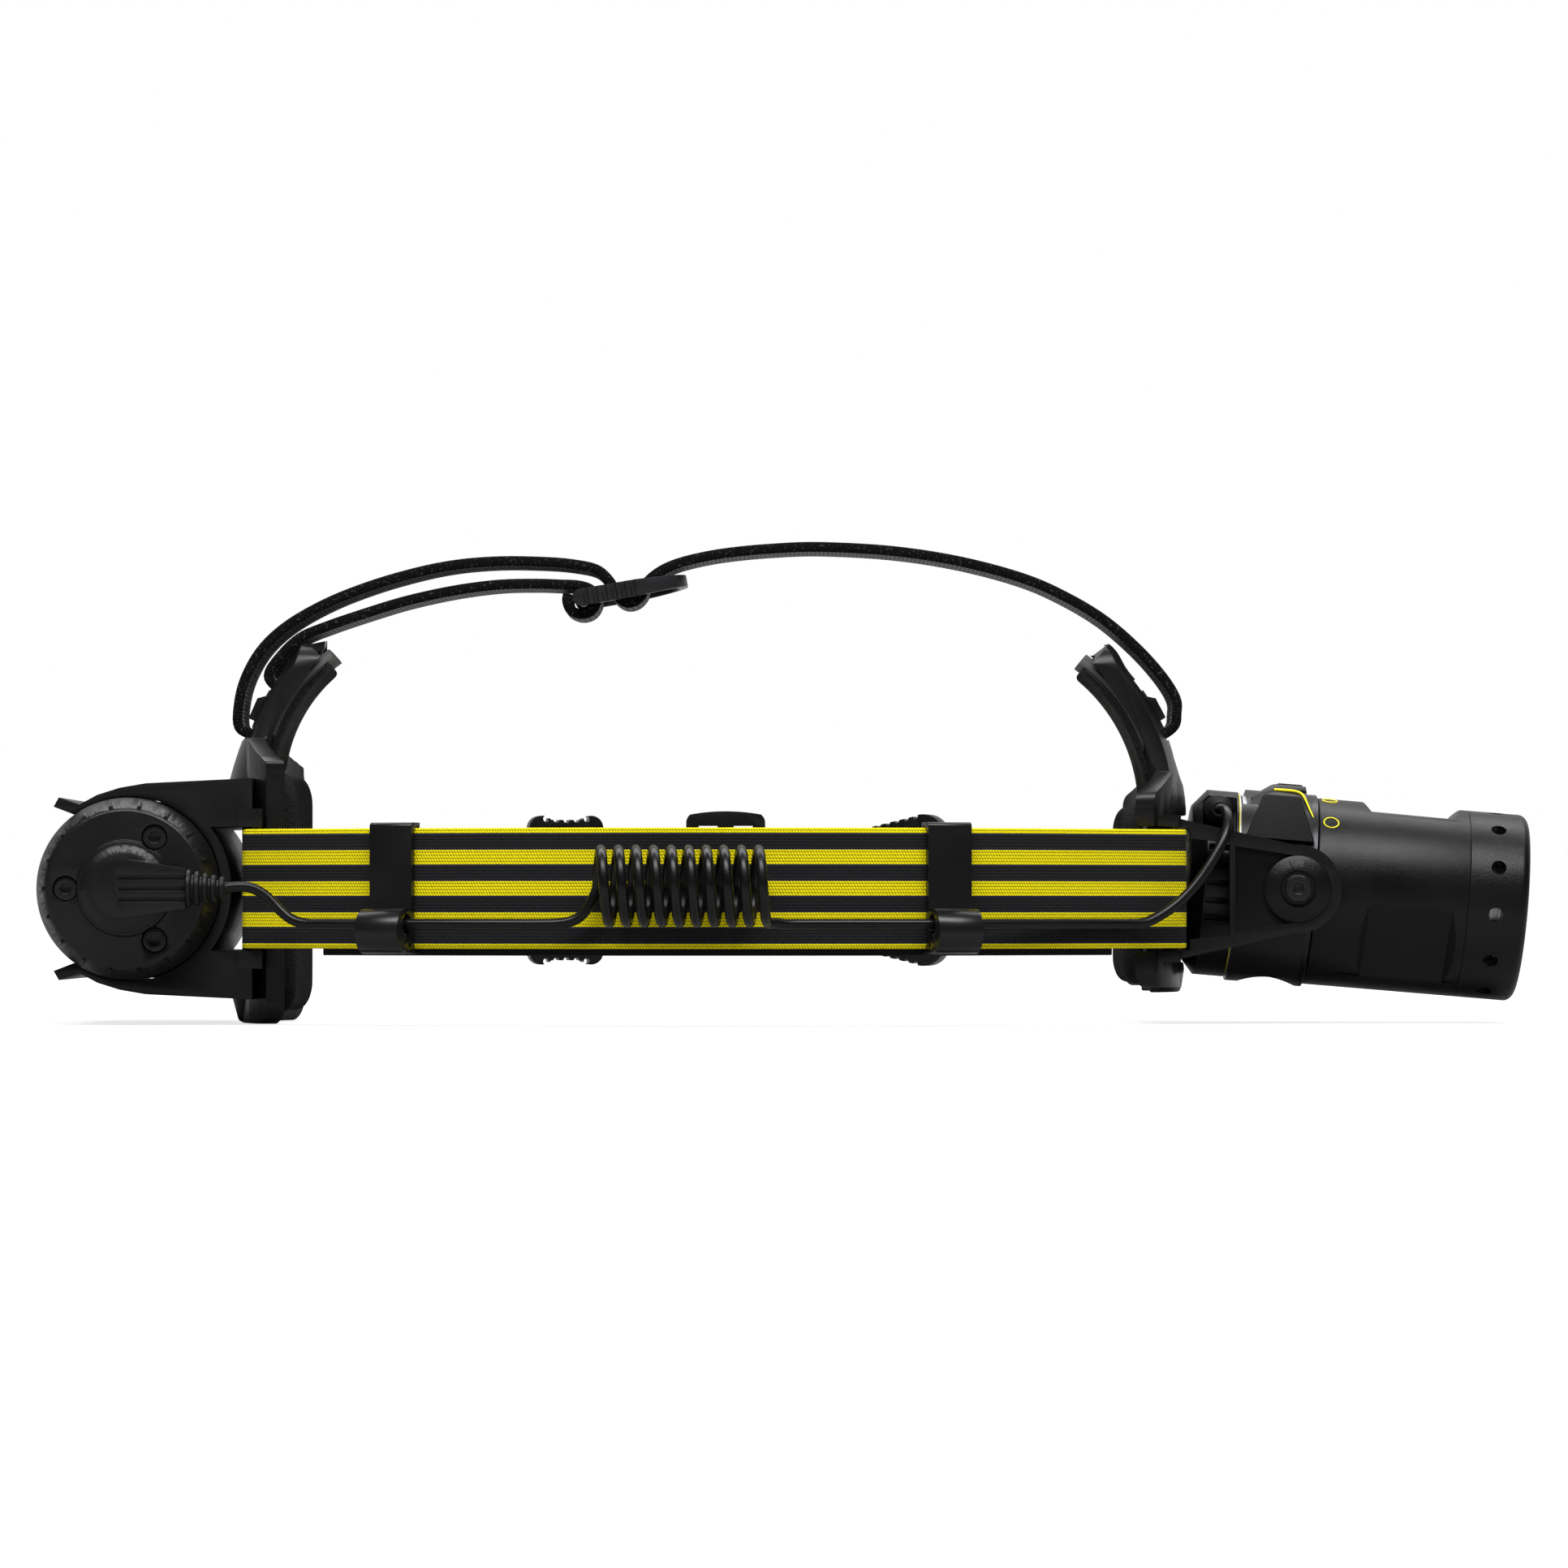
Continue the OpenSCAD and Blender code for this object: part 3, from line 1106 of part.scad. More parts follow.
module button_switch() color(dark_metal) at_lamp() {
    translate([-5.5, -3, tube_r + 1]) cube([6, 6, 1.4]);
    translate([-2.5, 0, tube_r + 2.3]) cylinder(d = 3, h = 0.3, $fn = 32);
}

module pivot_screws() color(dark_metal) at_lamp() for (s = [-1, 1]) rotate([90 * s, 0, 0]) {
    head_z = yoke_w / 2 + washer_t - 0.8;
    translate([0, 0, 20.2]) cylinder(d = pivot_d, h = head_z - 20.2 + touch, $fn = round_n);
    translate([0, 0, 20.2]) cylinder(d = insert_d - 0.04, h = collar_r - spot_l - 20.2 - 0.1,
        $fn = round_n);
    difference() {
        translate([0, 0, head_z]) cylinder(d = 6.8, h = 1.6, $fn = round_n);
        translate([0, 0, head_z + 0.6]) cylinder(d = 3.3, h = 3, $fn = 6);
    }
}

// Coned washers outside the yoke, flat friction washers inside it
washer_t = 2.6;
module pivot_washers() color(black_plastic) at_lamp() for (s = [-1, 1]) rotate([90 * s, 0, 0])
    translate([0, 0, yoke_w / 2 - 0.8 + 0.05]) rotate_extrude($fn = fine)
        polygon([[pivot_d / 2 + 0.05, 0], [yoke_end_r - rim_w - 0.15, 0], [cone_washer_d / 2 - 0.25, 0.9],
            [4.9, washer_t], [4.7, washer_t - 0.3], [3.7, washer_t - 0.3], [3.6, washer_t - 0.05],
            [pivot_d / 2 + 0.05, washer_t - 0.05]]);

module pivot_spacers() color(soft_black) at_lamp() for (s = [-1, 1]) rotate([90 * s, 0, 0])
    translate([0, 0, collar_r - spot_l]) difference() {
        cylinder(d = spacer_d, h = yoke_w / 2 - yoke_t - collar_r + spot_l - 0.05, $fn = round_n);
        translate([0, 0, -1]) cylinder(d = pivot_d + 0.1, h = 10, $fn = round_n);
    }

// Rear cap: coned back, cooling grooves at the sides, pocket for the lead
cap_bore_r = 21.6;
pocket_y = -9;
module rear_cap() color(black_plastic) at_lamp() difference() {
    turned([[0, -lamp_rear_l], [20.8, -lamp_rear_l], [cap_r, -lamp_rear_l + 3.9], [cap_r, cap_x1],
        [cap_bore_r, cap_x1], [cap_bore_r, -lamp_rear_l + 5], [0, -lamp_rear_l + 5]]);
    for (i = [-2 : 2], s = [-1, 1]) rotate([90 * s + i * 11.1, 0, 0])
        translate([-lamp_rear_l + 4.4, -0.9, cap_r - 1.5]) cube([9, 1.8, 5]);
    translate([-lamp_rear_l + 2.4, -40, 13]) cube([9.2, 40 + pocket_y, 12]);
    translate([grommet_u, -30, grommet_v]) rotate([-90, 0, 0]) cylinder(d = 5, h = 30, $fn = 32);
}

grommet_u = -22;
grommet_v = 19.9;
module cable_grommet() color(soft_black) at_lamp()
    translate([grommet_u, pocket_y - touch, grommet_v]) rotate([90, 0, 0]) difference() {
        rotate_extrude($fn = round_n) polygon([[0, -1.5], [2.4, -1.5], [2.4, 0.05], [3.9, 0.05], [3.9, 4.4],
            [3.4, 4.9], [3.1, 4.9], [3.1, 6.1], [2.7, 6.6], [2.4, 6.6], [2.4, 8.4], [2.1, 8.8], [0, 8.8]]);
        translate([0, 0, 6.8]) cylinder(d = lead_d + 0.1, h = 4, $fn = 32);
    }

module rear_cap_seal() color([0.6, 0.15, 0.1]) at_lamp()
    turned([[20.2, cap_x1 - 1.2], [cap_bore_r - 0.05, cap_x1 - 1.2], [cap_bore_r - 0.05, cap_x1 + 1.05],
        [20.2, cap_x1 + 1.05]]);

module accent_ring() color([0.95, 0.88, 0.1]) at_lamp()
    turned([[cap_bore_r + 0.1, cap_x1 + 0.02], [cap_r - 0.5, cap_x1 + 0.02],
        [cap_r - 0.5, cap_x1 + 0.55], [lamp_r - 1.1, cap_x1 + 0.55], [lamp_r - 1.1, cap_x1 + 1.05],
        [cap_bore_r + 0.1, cap_x1 + 1.05]]);

module driver_board() color(board_green) at_lamp() {
    translate([-4, 0, 0]) rotate([0, 90, 0]) cylinder(r = 19.5, h = 1.6, $fn = fine);
    translate([-9, -7, -6]) cube([5 + touch, 14, 6]);
    translate([-7, -5, 4]) cube([3 + touch, 10, 7]);
    translate([-2.4 - touch, -6, -3]) cube([2.6, 12, 6]);
}

module led_board() color(bright_metal) at_lamp() difference() {
    translate([32.02, 0, 0]) rotate([0, 90, 0]) cylinder(r = 16, h = 1.6, $fn = fine);
    for (s = [-1, 1]) translate([30, s * 11, 0]) rotate([0, 90, 0]) cylinder(d = 2.6, h = 8, $fn = 32);
}

module led_emitter() color([0.95, 0.9, 0.5]) at_lamp() {
    translate([33.64, -3.5, -3.5]) cube([0.9, 7, 7]);
    translate([34.5, 0, 0]) rotate([0, 90, 0]) intersection() {
        translate([0, 0, -0.6]) sphere(r = 2.8, $fn = round_n);
        translate([-5, -5, 0]) cube([10, 10, 5]);
    }
}

// Turning sleeve with three finger flats
module focus_sleeve() color(dark_metal) at_lamp() rotate([flat_roll, 0, 0]) difference() {
    turned([[sleeve_bore_r, collar_x1 + seam], [lamp_r - 0.4, collar_x1 + seam],
        [lamp_r, collar_x1 + seam + 0.4], [lamp_r, bezel_x], [sleeve_bore_r, bezel_x]]);
    for (i = [0 : 2]) rotate([120 * i, 0, 0]) rotate([90, 0, 0]) linear_extrude(60, center = true)
        polygon([[18, lamp_r + 1], [18, lamp_r + 0.02], [20, lamp_r - flat_depth],
            [bezel_x - 4.1, lamp_r - flat_depth], [bezel_x - 2.1, lamp_r + 0.02],
            [bezel_x - 2.1, lamp_r + 1]]);
}

rim_r = 20.6;
bezel_bore_r = glass_d / 2 + 0.1;
module front_bezel() color(dark_metal) at_lamp()
    rotate([lamp_roll + 180 / vent_count, 0, 0]) difference() {
    turned([[sleeve_bore_r, bezel_x + 0.02], [lamp_r, bezel_x + 0.02], [lamp_r, lamp_front_l - 3.4],
        [lamp_r - 0.5, lamp_front_l - 2.4], [rim_r + 1, lamp_front_l], [rim_r, lamp_front_l],
        [rim_r, lamp_front_l - 1.5], [bezel_bore_r, lamp_front_l - 1.5], [bezel_bore_r, lamp_front_l - 5.6],
        [sleeve_bore_r, lamp_front_l - 5.6]]);
    for (i = [0 : vent_count - 1]) rotate([360 / vent_count * (i + 0.5), 0, 0])
        translate([vent_x, 0, 18]) cylinder(d = vent_d, h = 12, $fn = 32);
}

glass_t = 2;
module front_glass() color([0.8, 0.9, 1, 0.35]) at_lamp()
    translate([lamp_front_l - 1.52 - glass_t, 0, 0]) rotate([0, 90, 0])
        cylinder(d = glass_d, h = glass_t, $fn = fine);

module glass_seal() color(soft_black) at_lamp()
    turned([[20.8, lamp_front_l - 1.54 - glass_t - 1.2], [glass_d / 2 - 0.1, lamp_front_l - 1.54 - glass_t - 1.2],
        [glass_d / 2 - 0.1, lamp_front_l - 1.54 - glass_t], [20.8, lamp_front_l - 1.54 - glass_t]]);

// Lens carriage slides in the housing; pins through its slots follow the sleeve
carriage_x = 37.2;
carriage_l = 9;
pin_d = 3;
lens_r = 17.2;
module lens_carriage() color(black_plastic) at_lamp() difference() {
    turned([[lens_r - 0.8, carriage_x], [carriage_bore_r - 0.06, carriage_x],
        [carriage_bore_r - 0.06, carriage_x + carriage_l], [lens_r + 0.05, carriage_x + carriage_l],
        [lens_r + 0.05, carriage_x + 2.5], [lens_r - 0.8, carriage_x + 2.5]]);
    for (i = [0, 1]) rotate([180 * i, 0, 0]) translate([carriage_x + 1.8, 0, 0])
        cylinder(d = pin_d - 0.6, h = 40, $fn = 24);
}

module focus_lens() color([0.85, 0.92, 1, 0.4]) at_lamp()
    turned([[0, carriage_x + 5], [3.4, carriage_x + 5], [3.8, carriage_x], [9, carriage_x + 0.4],
        [14.5, carriage_x + 2.52], [lens_r, carriage_x + 2.52], [lens_r, carriage_x + carriage_l + 1],
        [16, carriage_x + carriage_l + 1.6], [0, carriage_x + carriage_l + 1.6]]);

module drive_pins() color(bright_metal) at_lamp() for (i = [0, 1]) rotate([180 * i, 0, 0])
    translate([carriage_x + 1.8, 0, lens_r - 0.4]) {
        translate([0, 0, 0.5]) cylinder(d = pin_d - 0.6, h = 0.7 + touch, $fn = 24);
        translate([0, 0, 2]) cylinder(d = pin_d - 0.1, h = tube_r - lens_r - 2.1, $fn = 24);
        translate([0, 0, 1.2]) cylinder(d = pin_d - 0.6, h = 1, $fn = 24);
    }

rear_bracket();
battery_cradle();
cradle_screws();
rear_pad_lower();
rear_pad_upper();
rear_pad_plate();
front_bracket();
front_pad_lower();
front_pad_upper();
front_pad_plate();
headband_near();
band_lining();
headband_far();
far_slider();
far_adjuster();
band_keeper();
cable_clip_rear();
cable_clip_front();
top_strap();
top_strap_slider();
cable_battery_end();
cable_coiled();
cable_lamp_end();
drum_shell();
near_end_cap();
far_end_cap();
cap_screws();
battery_cells();
cell_holders();
battery_board();
drum_seals();
cable_plug();
strain_relief();
lamp_housing();
pivot_collar();
pivot_screws();
pivot_washers();
pivot_spacers();
rear_cap();
rear_cap_seal();
accent_ring();
cable_grommet();
driver_board();
led_board();
led_emitter();
light_line();
power_button();
button_switch();
focus_sleeve();
front_bezel();
front_glass();
glass_seal();
lens_carriage();
focus_lens();
drive_pins();
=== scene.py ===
import bpy
import json
from math import asin, atan2, cos, degrees, hypot, pi, radians, sin, sqrt
from mathutils import Vector, Matrix

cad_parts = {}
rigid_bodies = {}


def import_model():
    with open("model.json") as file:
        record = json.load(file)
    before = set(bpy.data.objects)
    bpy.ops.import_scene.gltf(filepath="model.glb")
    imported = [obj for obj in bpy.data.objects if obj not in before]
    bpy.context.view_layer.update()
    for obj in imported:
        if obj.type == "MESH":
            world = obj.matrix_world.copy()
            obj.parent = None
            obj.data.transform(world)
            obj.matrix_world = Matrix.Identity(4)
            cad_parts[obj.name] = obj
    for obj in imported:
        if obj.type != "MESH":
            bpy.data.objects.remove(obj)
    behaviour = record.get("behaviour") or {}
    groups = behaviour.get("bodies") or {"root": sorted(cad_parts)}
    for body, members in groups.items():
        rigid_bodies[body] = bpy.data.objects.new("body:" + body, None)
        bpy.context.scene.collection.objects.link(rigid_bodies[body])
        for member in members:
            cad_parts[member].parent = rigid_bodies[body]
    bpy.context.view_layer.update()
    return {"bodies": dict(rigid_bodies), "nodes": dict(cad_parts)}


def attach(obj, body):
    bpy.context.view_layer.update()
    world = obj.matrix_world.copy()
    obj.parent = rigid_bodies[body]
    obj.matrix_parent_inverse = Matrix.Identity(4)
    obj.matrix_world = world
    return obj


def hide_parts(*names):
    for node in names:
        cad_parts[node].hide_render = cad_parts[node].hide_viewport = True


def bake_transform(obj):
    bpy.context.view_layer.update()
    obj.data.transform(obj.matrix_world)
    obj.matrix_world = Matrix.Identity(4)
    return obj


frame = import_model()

cadNodes = frame["nodes"]
bodyOf = {}
for bodyName, empty in frame["bodies"].items():
    for child in empty.children_recursive:
        bodyOf[child.name] = bodyName
print("frame loaded:", len(cadNodes), "nodes")

mm = 0.001
scene = bpy.context.scene
scene.view_settings.view_transform = "Standard"


# ---- small helpers

def toMode(mode):
    bpy.ops.object.mode_set(mode=mode)


def activate(piece):
    if bpy.context.mode != "OBJECT":
        toMode("OBJECT")
    bpy.ops.object.select_all(action="DESELECT")
    piece.select_set(True)
    bpy.context.view_layer.objects.active = piece


# Goes into edit mode with all of one kind selected, or nothing
def editAll(piece, kind="VERT", action="SELECT"):
    activate(piece)
    toMode("EDIT")
    bpy.ops.mesh.select_mode(type=kind)
    bpy.ops.mesh.select_all(action=action)


# Selects what passes a test and stays in edit mode
def pick(piece, kind, test):
    editAll(piece, kind, "DESELECT")
    toMode("OBJECT")
    mesh = piece.data
    for item in {"VERT": mesh.vertices, "EDGE": mesh.edges, "FACE": mesh.polygons}[kind]:
        item.select = test(item)
    toMode("EDIT")


def freshPiece(name, mesh):
    mesh.name = name
    piece = bpy.data.objects.new(name, mesh)
    scene.collection.objects.link(piece)
    return piece


def placeInMesh(piece):
    activate(piece)
    bpy.ops.object.transform_apply(location=True, rotation=True, scale=True)


# A primitive whose Z axis looks along a direction
def addShape(operator, place, along=None, **sizes):
    bpy.ops.object.select_all(action="DESELECT")
    turn = along.to_track_quat("Z", "Y").to_euler() if along else (0, 0, 0)
    operator(location=place, rotation=turn, **sizes)
    piece = bpy.context.object
    placeInMesh(piece)
    return piece


# Skin over rings of points in mm, with the two ends closed or left open
def skinMesh(name, rings, closed=True):
    count, last = len(rings[0]), len(rings) - 1
    faces = []
    for i in range(last):
        for k in range(count):
            a, b = i * count + k, i * count + (k + 1) % count
            faces.append((a, b, b + count, a + count))
    if closed:
        faces.append(tuple(range(count - 1, -1, -1)))
        faces.append(tuple(range(last * count, last * count + count)))
    mesh = bpy.data.meshes.new(name)
    mesh.from_pydata([point * mm for ring in rings for point in ring], [], faces)
    return freshPiece(name, mesh)


def applyTo(piece, modifier):
    activate(piece)
    bpy.ops.object.modifier_apply(modifier=modifier.name)


def bevelEdges(piece, width, segments=3, limit=30):
    bevel = piece.modifiers.new("edges", "BEVEL")
    bevel.width = width * mm
    bevel.segments = segments
    bevel.angle_limit = radians(limit)
    applyTo(piece, bevel)


def smoothByAngle(piece, limit=32):
    activate(piece)
    bpy.ops.object.shade_smooth_by_angle(angle=radians(limit))


def outwards(piece):
    editAll(piece)
    bpy.ops.mesh.remove_doubles(threshold=1e-6)
    bpy.ops.mesh.normals_make_consistent(inside=False)
    toMode("OBJECT")


def dress(piece, body, slotName, *materials):
    # clearing the slots also clears which face takes which, so that is put back
    finishOf = [min(face.material_index, len(materials) - 1) for face in piece.data.polygons]
    piece.data.materials.clear()
    for material in materials:
        piece.data.materials.append(material)
    piece.data.polygons.foreach_set("material_index", finishOf)
    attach(piece, body)


def joinPieces(pieces, name):
    activate(pieces[0])
    for piece in pieces:
        piece.select_set(True)
    bpy.ops.object.join()
    pieces[0].name = pieces[0].data.name = name
    return pieces[0]


# ---- node helpers for the finishes

# Gives a node's sockets what feeds them: a number, a vector, a colour or another node's output
def feed(node, values):
    for key, value in values.items():
        socket = node.inputs[key]
        if isinstance(value, bpy.types.NodeSocket):
            node.id_data.links.new(value, socket)
        else:
            socket.default_value = (*value, 1) if socket.type == "RGBA" else value


# A new node, in the tree of what feeds it where none is given
def addNode(kind, values, tree=None):
    sockets = [value for value in values.values() if isinstance(value, bpy.types.NodeSocket)]
    node = (tree or sockets[0].id_data).nodes.new("ShaderNode" + kind)
    feed(node, values)
    return node


def startMaterial(name, colour, roughness, specular, metallic=0.0):
    material = bpy.data.materials.new(name)
    material.use_nodes = True
    tree = material.node_tree
    shader = tree.nodes["Principled BSDF"]
    feed(shader, {"Base Color": colour, "Roughness": roughness, "Metallic": metallic,
                  "Specular IOR Level": specular})
    return material, tree, shader


def coords(tree, kind="Object"):
    return addNode("TexCoord", {}, tree).outputs[kind]


def millimetres(tree, kind):
    return addNode("Mapping", {"Vector": coords(tree, kind), "Scale": (1000, 1000, 1000)}).outputs[0]


def splitAxes(vector):
    return addNode("SeparateXYZ", {"Vector": vector}).outputs[:2]


def noiseOf(vector, scale, detail=2.0):
    return addNode("TexNoise", {"Vector": vector, "Scale": scale, "Detail": detail}).outputs["Fac"]


def calc(operation, *values):
    node = addNode("Math", dict(enumerate(values)))
    node.operation = operation
    return node.outputs[0]


def times(first, second):
    return calc("MULTIPLY", first, second)


def plus(first, second):
    return calc("ADD", first, second)


# Row of humps, each as long as given
def humps(value, length=1.0):
    return calc("ABSOLUTE", calc("SINE", times(value, pi / length)))


def ramp(value, low, high, outLow=0.0, outHigh=1.0):
    return addNode("MapRange", {"Value": value, "From Min": low, "From Max": high,
                                "To Min": outLow, "To Max": outHigh}).outputs["Result"]


def blendColour(factor, first, second):
    firstColour, secondColour, mixed = 6, 7, 2      # socket places of a colour mix
    node = factor.id_data.nodes.new("ShaderNodeMix")
    node.data_type = "RGBA"
    feed(node, {"Factor": factor, firstColour: first, secondColour: second})
    return node.outputs[mixed]


def tint(colour, factor):
    return tuple(c * factor for c in colour)


def coat(shader, colour, height, depth, strength=1.0):
    bump = addNode("Bump", {"Height": height, "Distance": depth, "Strength": strength})
    feed(shader, {"Base Color": colour, "Normal": bump.outputs["Normal"]})


# Moulded plastic: eroded grain, paler on sharp edges in patches, faint cloudiness
def mouldedPlastic(name, colour, roughness=0.42, grain=3200, depth=0.00003, specular=0.22, edgePaling=0.35):
    cloudScale, edgePatchScale = 60, 900
    material, tree, shader = startMaterial(name, colour, roughness, specular)
    place = coords(tree)
    cloud = noiseOf(place, cloudScale, 3.0)
    edge = ramp(addNode("NewGeometry", {}, tree).outputs["Pointiness"], 0.52, 0.62)
    edgePatches = ramp(noiseOf(place, edgePatchScale, 3.0), 0.35, 0.65, 0.3, edgePaling + 0.3)
    base = blendColour(ramp(cloud, 0.3, 0.7), tint(colour, 0.85), tint(colour, 1.2))
    # sharp edges take a paler colour, in patches of noise
    paleEdgeColour = tuple(min(1.0, c * 1.8 + 0.006) for c in colour)
    shade = blendColour(times(times(edge, edgePatches), edgePaling), base, paleEdgeColour)
    feed(shader, {"Roughness": ramp(cloud, 0.25, 0.75, roughness - 0.05, roughness + 0.06)})
    coat(shader, shade, noiseOf(place, grain), depth)
    return material


# Bead-blasted or turned metal
def finishedMetal(name, colour, roughness):
    cloudScale, grain, depth = 120, 4200, 0.00002
    material, tree, shader = startMaterial(name, colour, roughness, 0.5, 1.0)
    place = coords(tree)
    cloud = noiseOf(place, cloudScale, 3.0)
    shade = blendColour(ramp(cloud, 0.3, 0.7), tint(colour, 0.92), tint(colour, 1.05))
    feed(shader, {"Roughness": ramp(cloud, 0.3, 0.7, roughness - 0.07, roughness + 0.07)})
    coat(shader, shade, noiseOf(place, grain), depth)
    return material


def clearGlass(name, colour, roughness=0.02):
    smudgeScale = 90
    material, tree, shader = startMaterial(name, colour, roughness, 0.5)
    smudge = noiseOf(coords(tree), smudgeScale, 3.0)
    feed(shader, {"Transmission Weight": 1.0, "IOR": 1.5,
                  "Roughness": ramp(smudge, 0.35, 0.75, roughness, roughness + 0.05)})
    return material


# Knitted band: stripes across, slanted stitches in staggered rows, with painted shade in the gaps between
# stitches
stripedBand = {
    "firstEdge": 14.45,      # mm from the middle to the outermost stripe boundary
    "stripe": 4.1286,
    "rowPitch": 0.8257,
    "stitchPitch": 0.76,
    "slant": 0.45,
    "fuzzScale": 2.4,
    "relief": 0.00016,
    "yellow": (0.96, 0.83, 0.0),
    # the gap colours are painted shade between the stitches
    "yellowGapShade": (0.27, 0.22, 0.0),
    "dark": (0.015, 0.015, 0.017),
    "darkGapShade": (0.0025, 0.0025, 0.0035),
    "divider": (0.012, 0.014, 0.05),
}


def makeBandMaterial(name, plain=False):
    d = stripedBand
    material, tree, shader = startMaterial(name, (0.5, 0.5, 0.5), 0.75, 0.15)
    feed(shader, {"Sheen Weight": 0.04, "Sheen Roughness": 0.5})
    place = millimetres(tree, "UV")
    u, v = splitAxes(place)
    fromEdge = plus(v, d["firstEdge"])
    rowPlace = calc("DIVIDE", fromEdge, d["rowPitch"])
    row = calc("FLOOR", rowPlace)
    inRow = calc("SUBTRACT", rowPlace, row)
    stagger = times(calc("FLOORED_MODULO", row, 2.0), 0.5)
    offset = plus(stagger, times(inRow, d["slant"]))
    along = plus(calc("DIVIDE", u, d["stitchPitch"]), offset)
    height = calc("POWER", times(humps(along), humps(inRow)), 0.5)
    height = plus(height, times(noiseOf(place, d["fuzzScale"]), 0.25))
    # stitch tops keep the yarn colour; the gaps between them take the painted shade
    fill = ramp(height, 0.35, 0.8)
    if plain:
        colour = blendColour(fill, d["darkGapShade"], tint(d["dark"], 0.6))
    else:
        stripePlace = calc("DIVIDE", fromEdge, d["stripe"])
        stripe = calc("FLOORED_MODULO", calc("FLOOR", stripePlace), 2.0)
        yellow = blendColour(fill, d["yellowGapShade"], d["yellow"])
        dark = blendColour(fill, d["darkGapShade"], d["dark"])
        inStripe = calc("FRACT", plus(stripePlace, 0.5))
        fromLine = calc("ABSOLUTE", calc("SUBTRACT", inStripe, 0.5))
        line = ramp(fromLine, 0.032, 0.045, 1.0, 0.0)
        colour = blendColour(line, blendColour(stripe, dark, yellow), d["divider"])
    coat(shader, colour, height, d["relief"], 0.9)
    return material


# Strap webbing, in mm: plain face with pale flecks, or the cross-ribbed back
webbing = {"yarn": 0.9, "rib": 1.15, "fuzzScale": 3.0, "fleckScale": 1.3, "relief": 0.00018}


def makeWebbing(name, colour, fleck, ribbed):
    material, tree, shader = startMaterial(name, colour, 0.75, 0.1)
    feed(shader, {"Sheen Weight": 0.03})
    place = millimetres(tree, "UV")
    u, v = splitAxes(place)
    if ribbed:
        height = humps(u, webbing["rib"])
    else:
        lane = calc("FLOOR", calc("DIVIDE", v, webbing["yarn"]))
        along = plus(calc("DIVIDE", u, webbing["yarn"]), times(lane, 0.5))
        height = times(humps(along), humps(v, webbing["yarn"]))
    height = plus(height, times(noiseOf(place, webbing["fuzzScale"]), 0.3))
    fleckNoise = noiseOf(millimetres(tree, "Object"), webbing["fleckScale"], 1.0)
    # painted shade: darker towards the hollows of the weave
    shade = blendColour(ramp(height, 0.2, 0.8), tint(colour, 0.35), colour)
    shade = blendColour(ramp(fleckNoise, 0.60, 0.72), shade, fleck)
    coat(shader, shade, height, webbing["relief"], 0.8)
    return material


# Closed-cell foam with a pebbled skin, with painted shade in the pits between the pebbles
def makeFoam(name, colour):
    pebbleScale, grain, cloudScale, relief = 1100, 2500, 80, 0.00025
    material, tree, shader = startMaterial(name, colour, 0.85, 0.15)
    place = coords(tree)
    pebble = addNode("TexVoronoi", {"Vector": place, "Scale": pebbleScale}).outputs["Distance"]
    height = plus(ramp(pebble, 0.0, 0.7), times(noiseOf(place, grain), 0.4))
    # painted shade: darker in the pits than on the pebble tops
    shade = blendColour(ramp(height, 0.2, 1.1), tint(colour, 0.55), tint(colour, 1.25))
    cloud = ramp(noiseOf(place, cloudScale, 3.0), 0.3, 0.7, 0.0, 0.35)
    coat(shader, blendColour(cloud, shade, tint(colour, 1.5)), height, relief, 0.8)
    return material


blackPlastic = mouldedPlastic("blackPlastic", (0.0055, 0.0055, 0.006), 0.34, specular=0.3)
matteBlack = mouldedPlastic("matteBlack", (0.0075, 0.0075, 0.008), 0.36, grain=2400, specular=0.35)
satinBlack = mouldedPlastic("satinBlack", (0.006, 0.006, 0.0065), 0.28, depth=0.00001, specular=0.35,
                            edgePaling=0.2)
lampBlack = mouldedPlastic("lampBlack", (0.0035, 0.0035, 0.004), 0.31, grain=4500, depth=0.00006,
                           specular=0.26)
sliderGrey = mouldedPlastic("sliderGrey", (0.016, 0.016, 0.018), 0.33, depth=0.00002, specular=0.35)
padPlateGrey = mouldedPlastic("padPlateGrey", (0.10, 0.10, 0.10), 0.55)
recessBlack = mouldedPlastic("recessBlack", (0.003, 0.003, 0.0033), 0.6, grain=1800, depth=0.00006,
                             specular=0.12, edgePaling=0.0)
softRubber = mouldedPlastic("softRubber", (0.008, 0.008, 0.0085), 0.45, depth=0.00002, edgePaling=0.1)
sealRed = mouldedPlastic("sealRed", (0.35, 0.05, 0.03), 0.5, edgePaling=0.1)
leadRubber = mouldedPlastic("leadRubber", (0.004, 0.004, 0.0045), 0.3, depth=0.00001, specular=0.3, edgePaling=0.0)
brightMetal = finishedMetal("brightMetal", (0.60, 0.61, 0.63), 0.42)
darkMetal = finishedMetal("darkMetal", (0.13, 0.13, 0.14), 0.3)
ringMetal = finishedMetal("ringMetal", (0.04, 0.04, 0.044), 0.34)
screwBlack = mouldedPlastic("screwBlack", (0.008, 0.008, 0.009), 0.38, depth=0.00001, specular=0.4, edgePaling=0.1)
boardGreen = mouldedPlastic("boardGreen", (0.02, 0.16, 0.05), 0.4, edgePaling=0.1)
cellWrap = mouldedPlastic("cellWrap", (0.03, 0.12, 0.42), 0.3, edgePaling=0.1)
yellowTrim = mouldedPlastic("yellowTrim", (0.92, 0.80, 0.02), 0.4, edgePaling=0.05)
emitterYellow = mouldedPlastic("emitterYellow", (0.85, 0.72, 0.12), 0.25, edgePaling=0.0)
glassClear = clearGlass("glassClear", (1.0, 1.0, 1.0))
lensClear = clearGlass("lensClear", (0.97, 0.99, 1.0), 0.01)
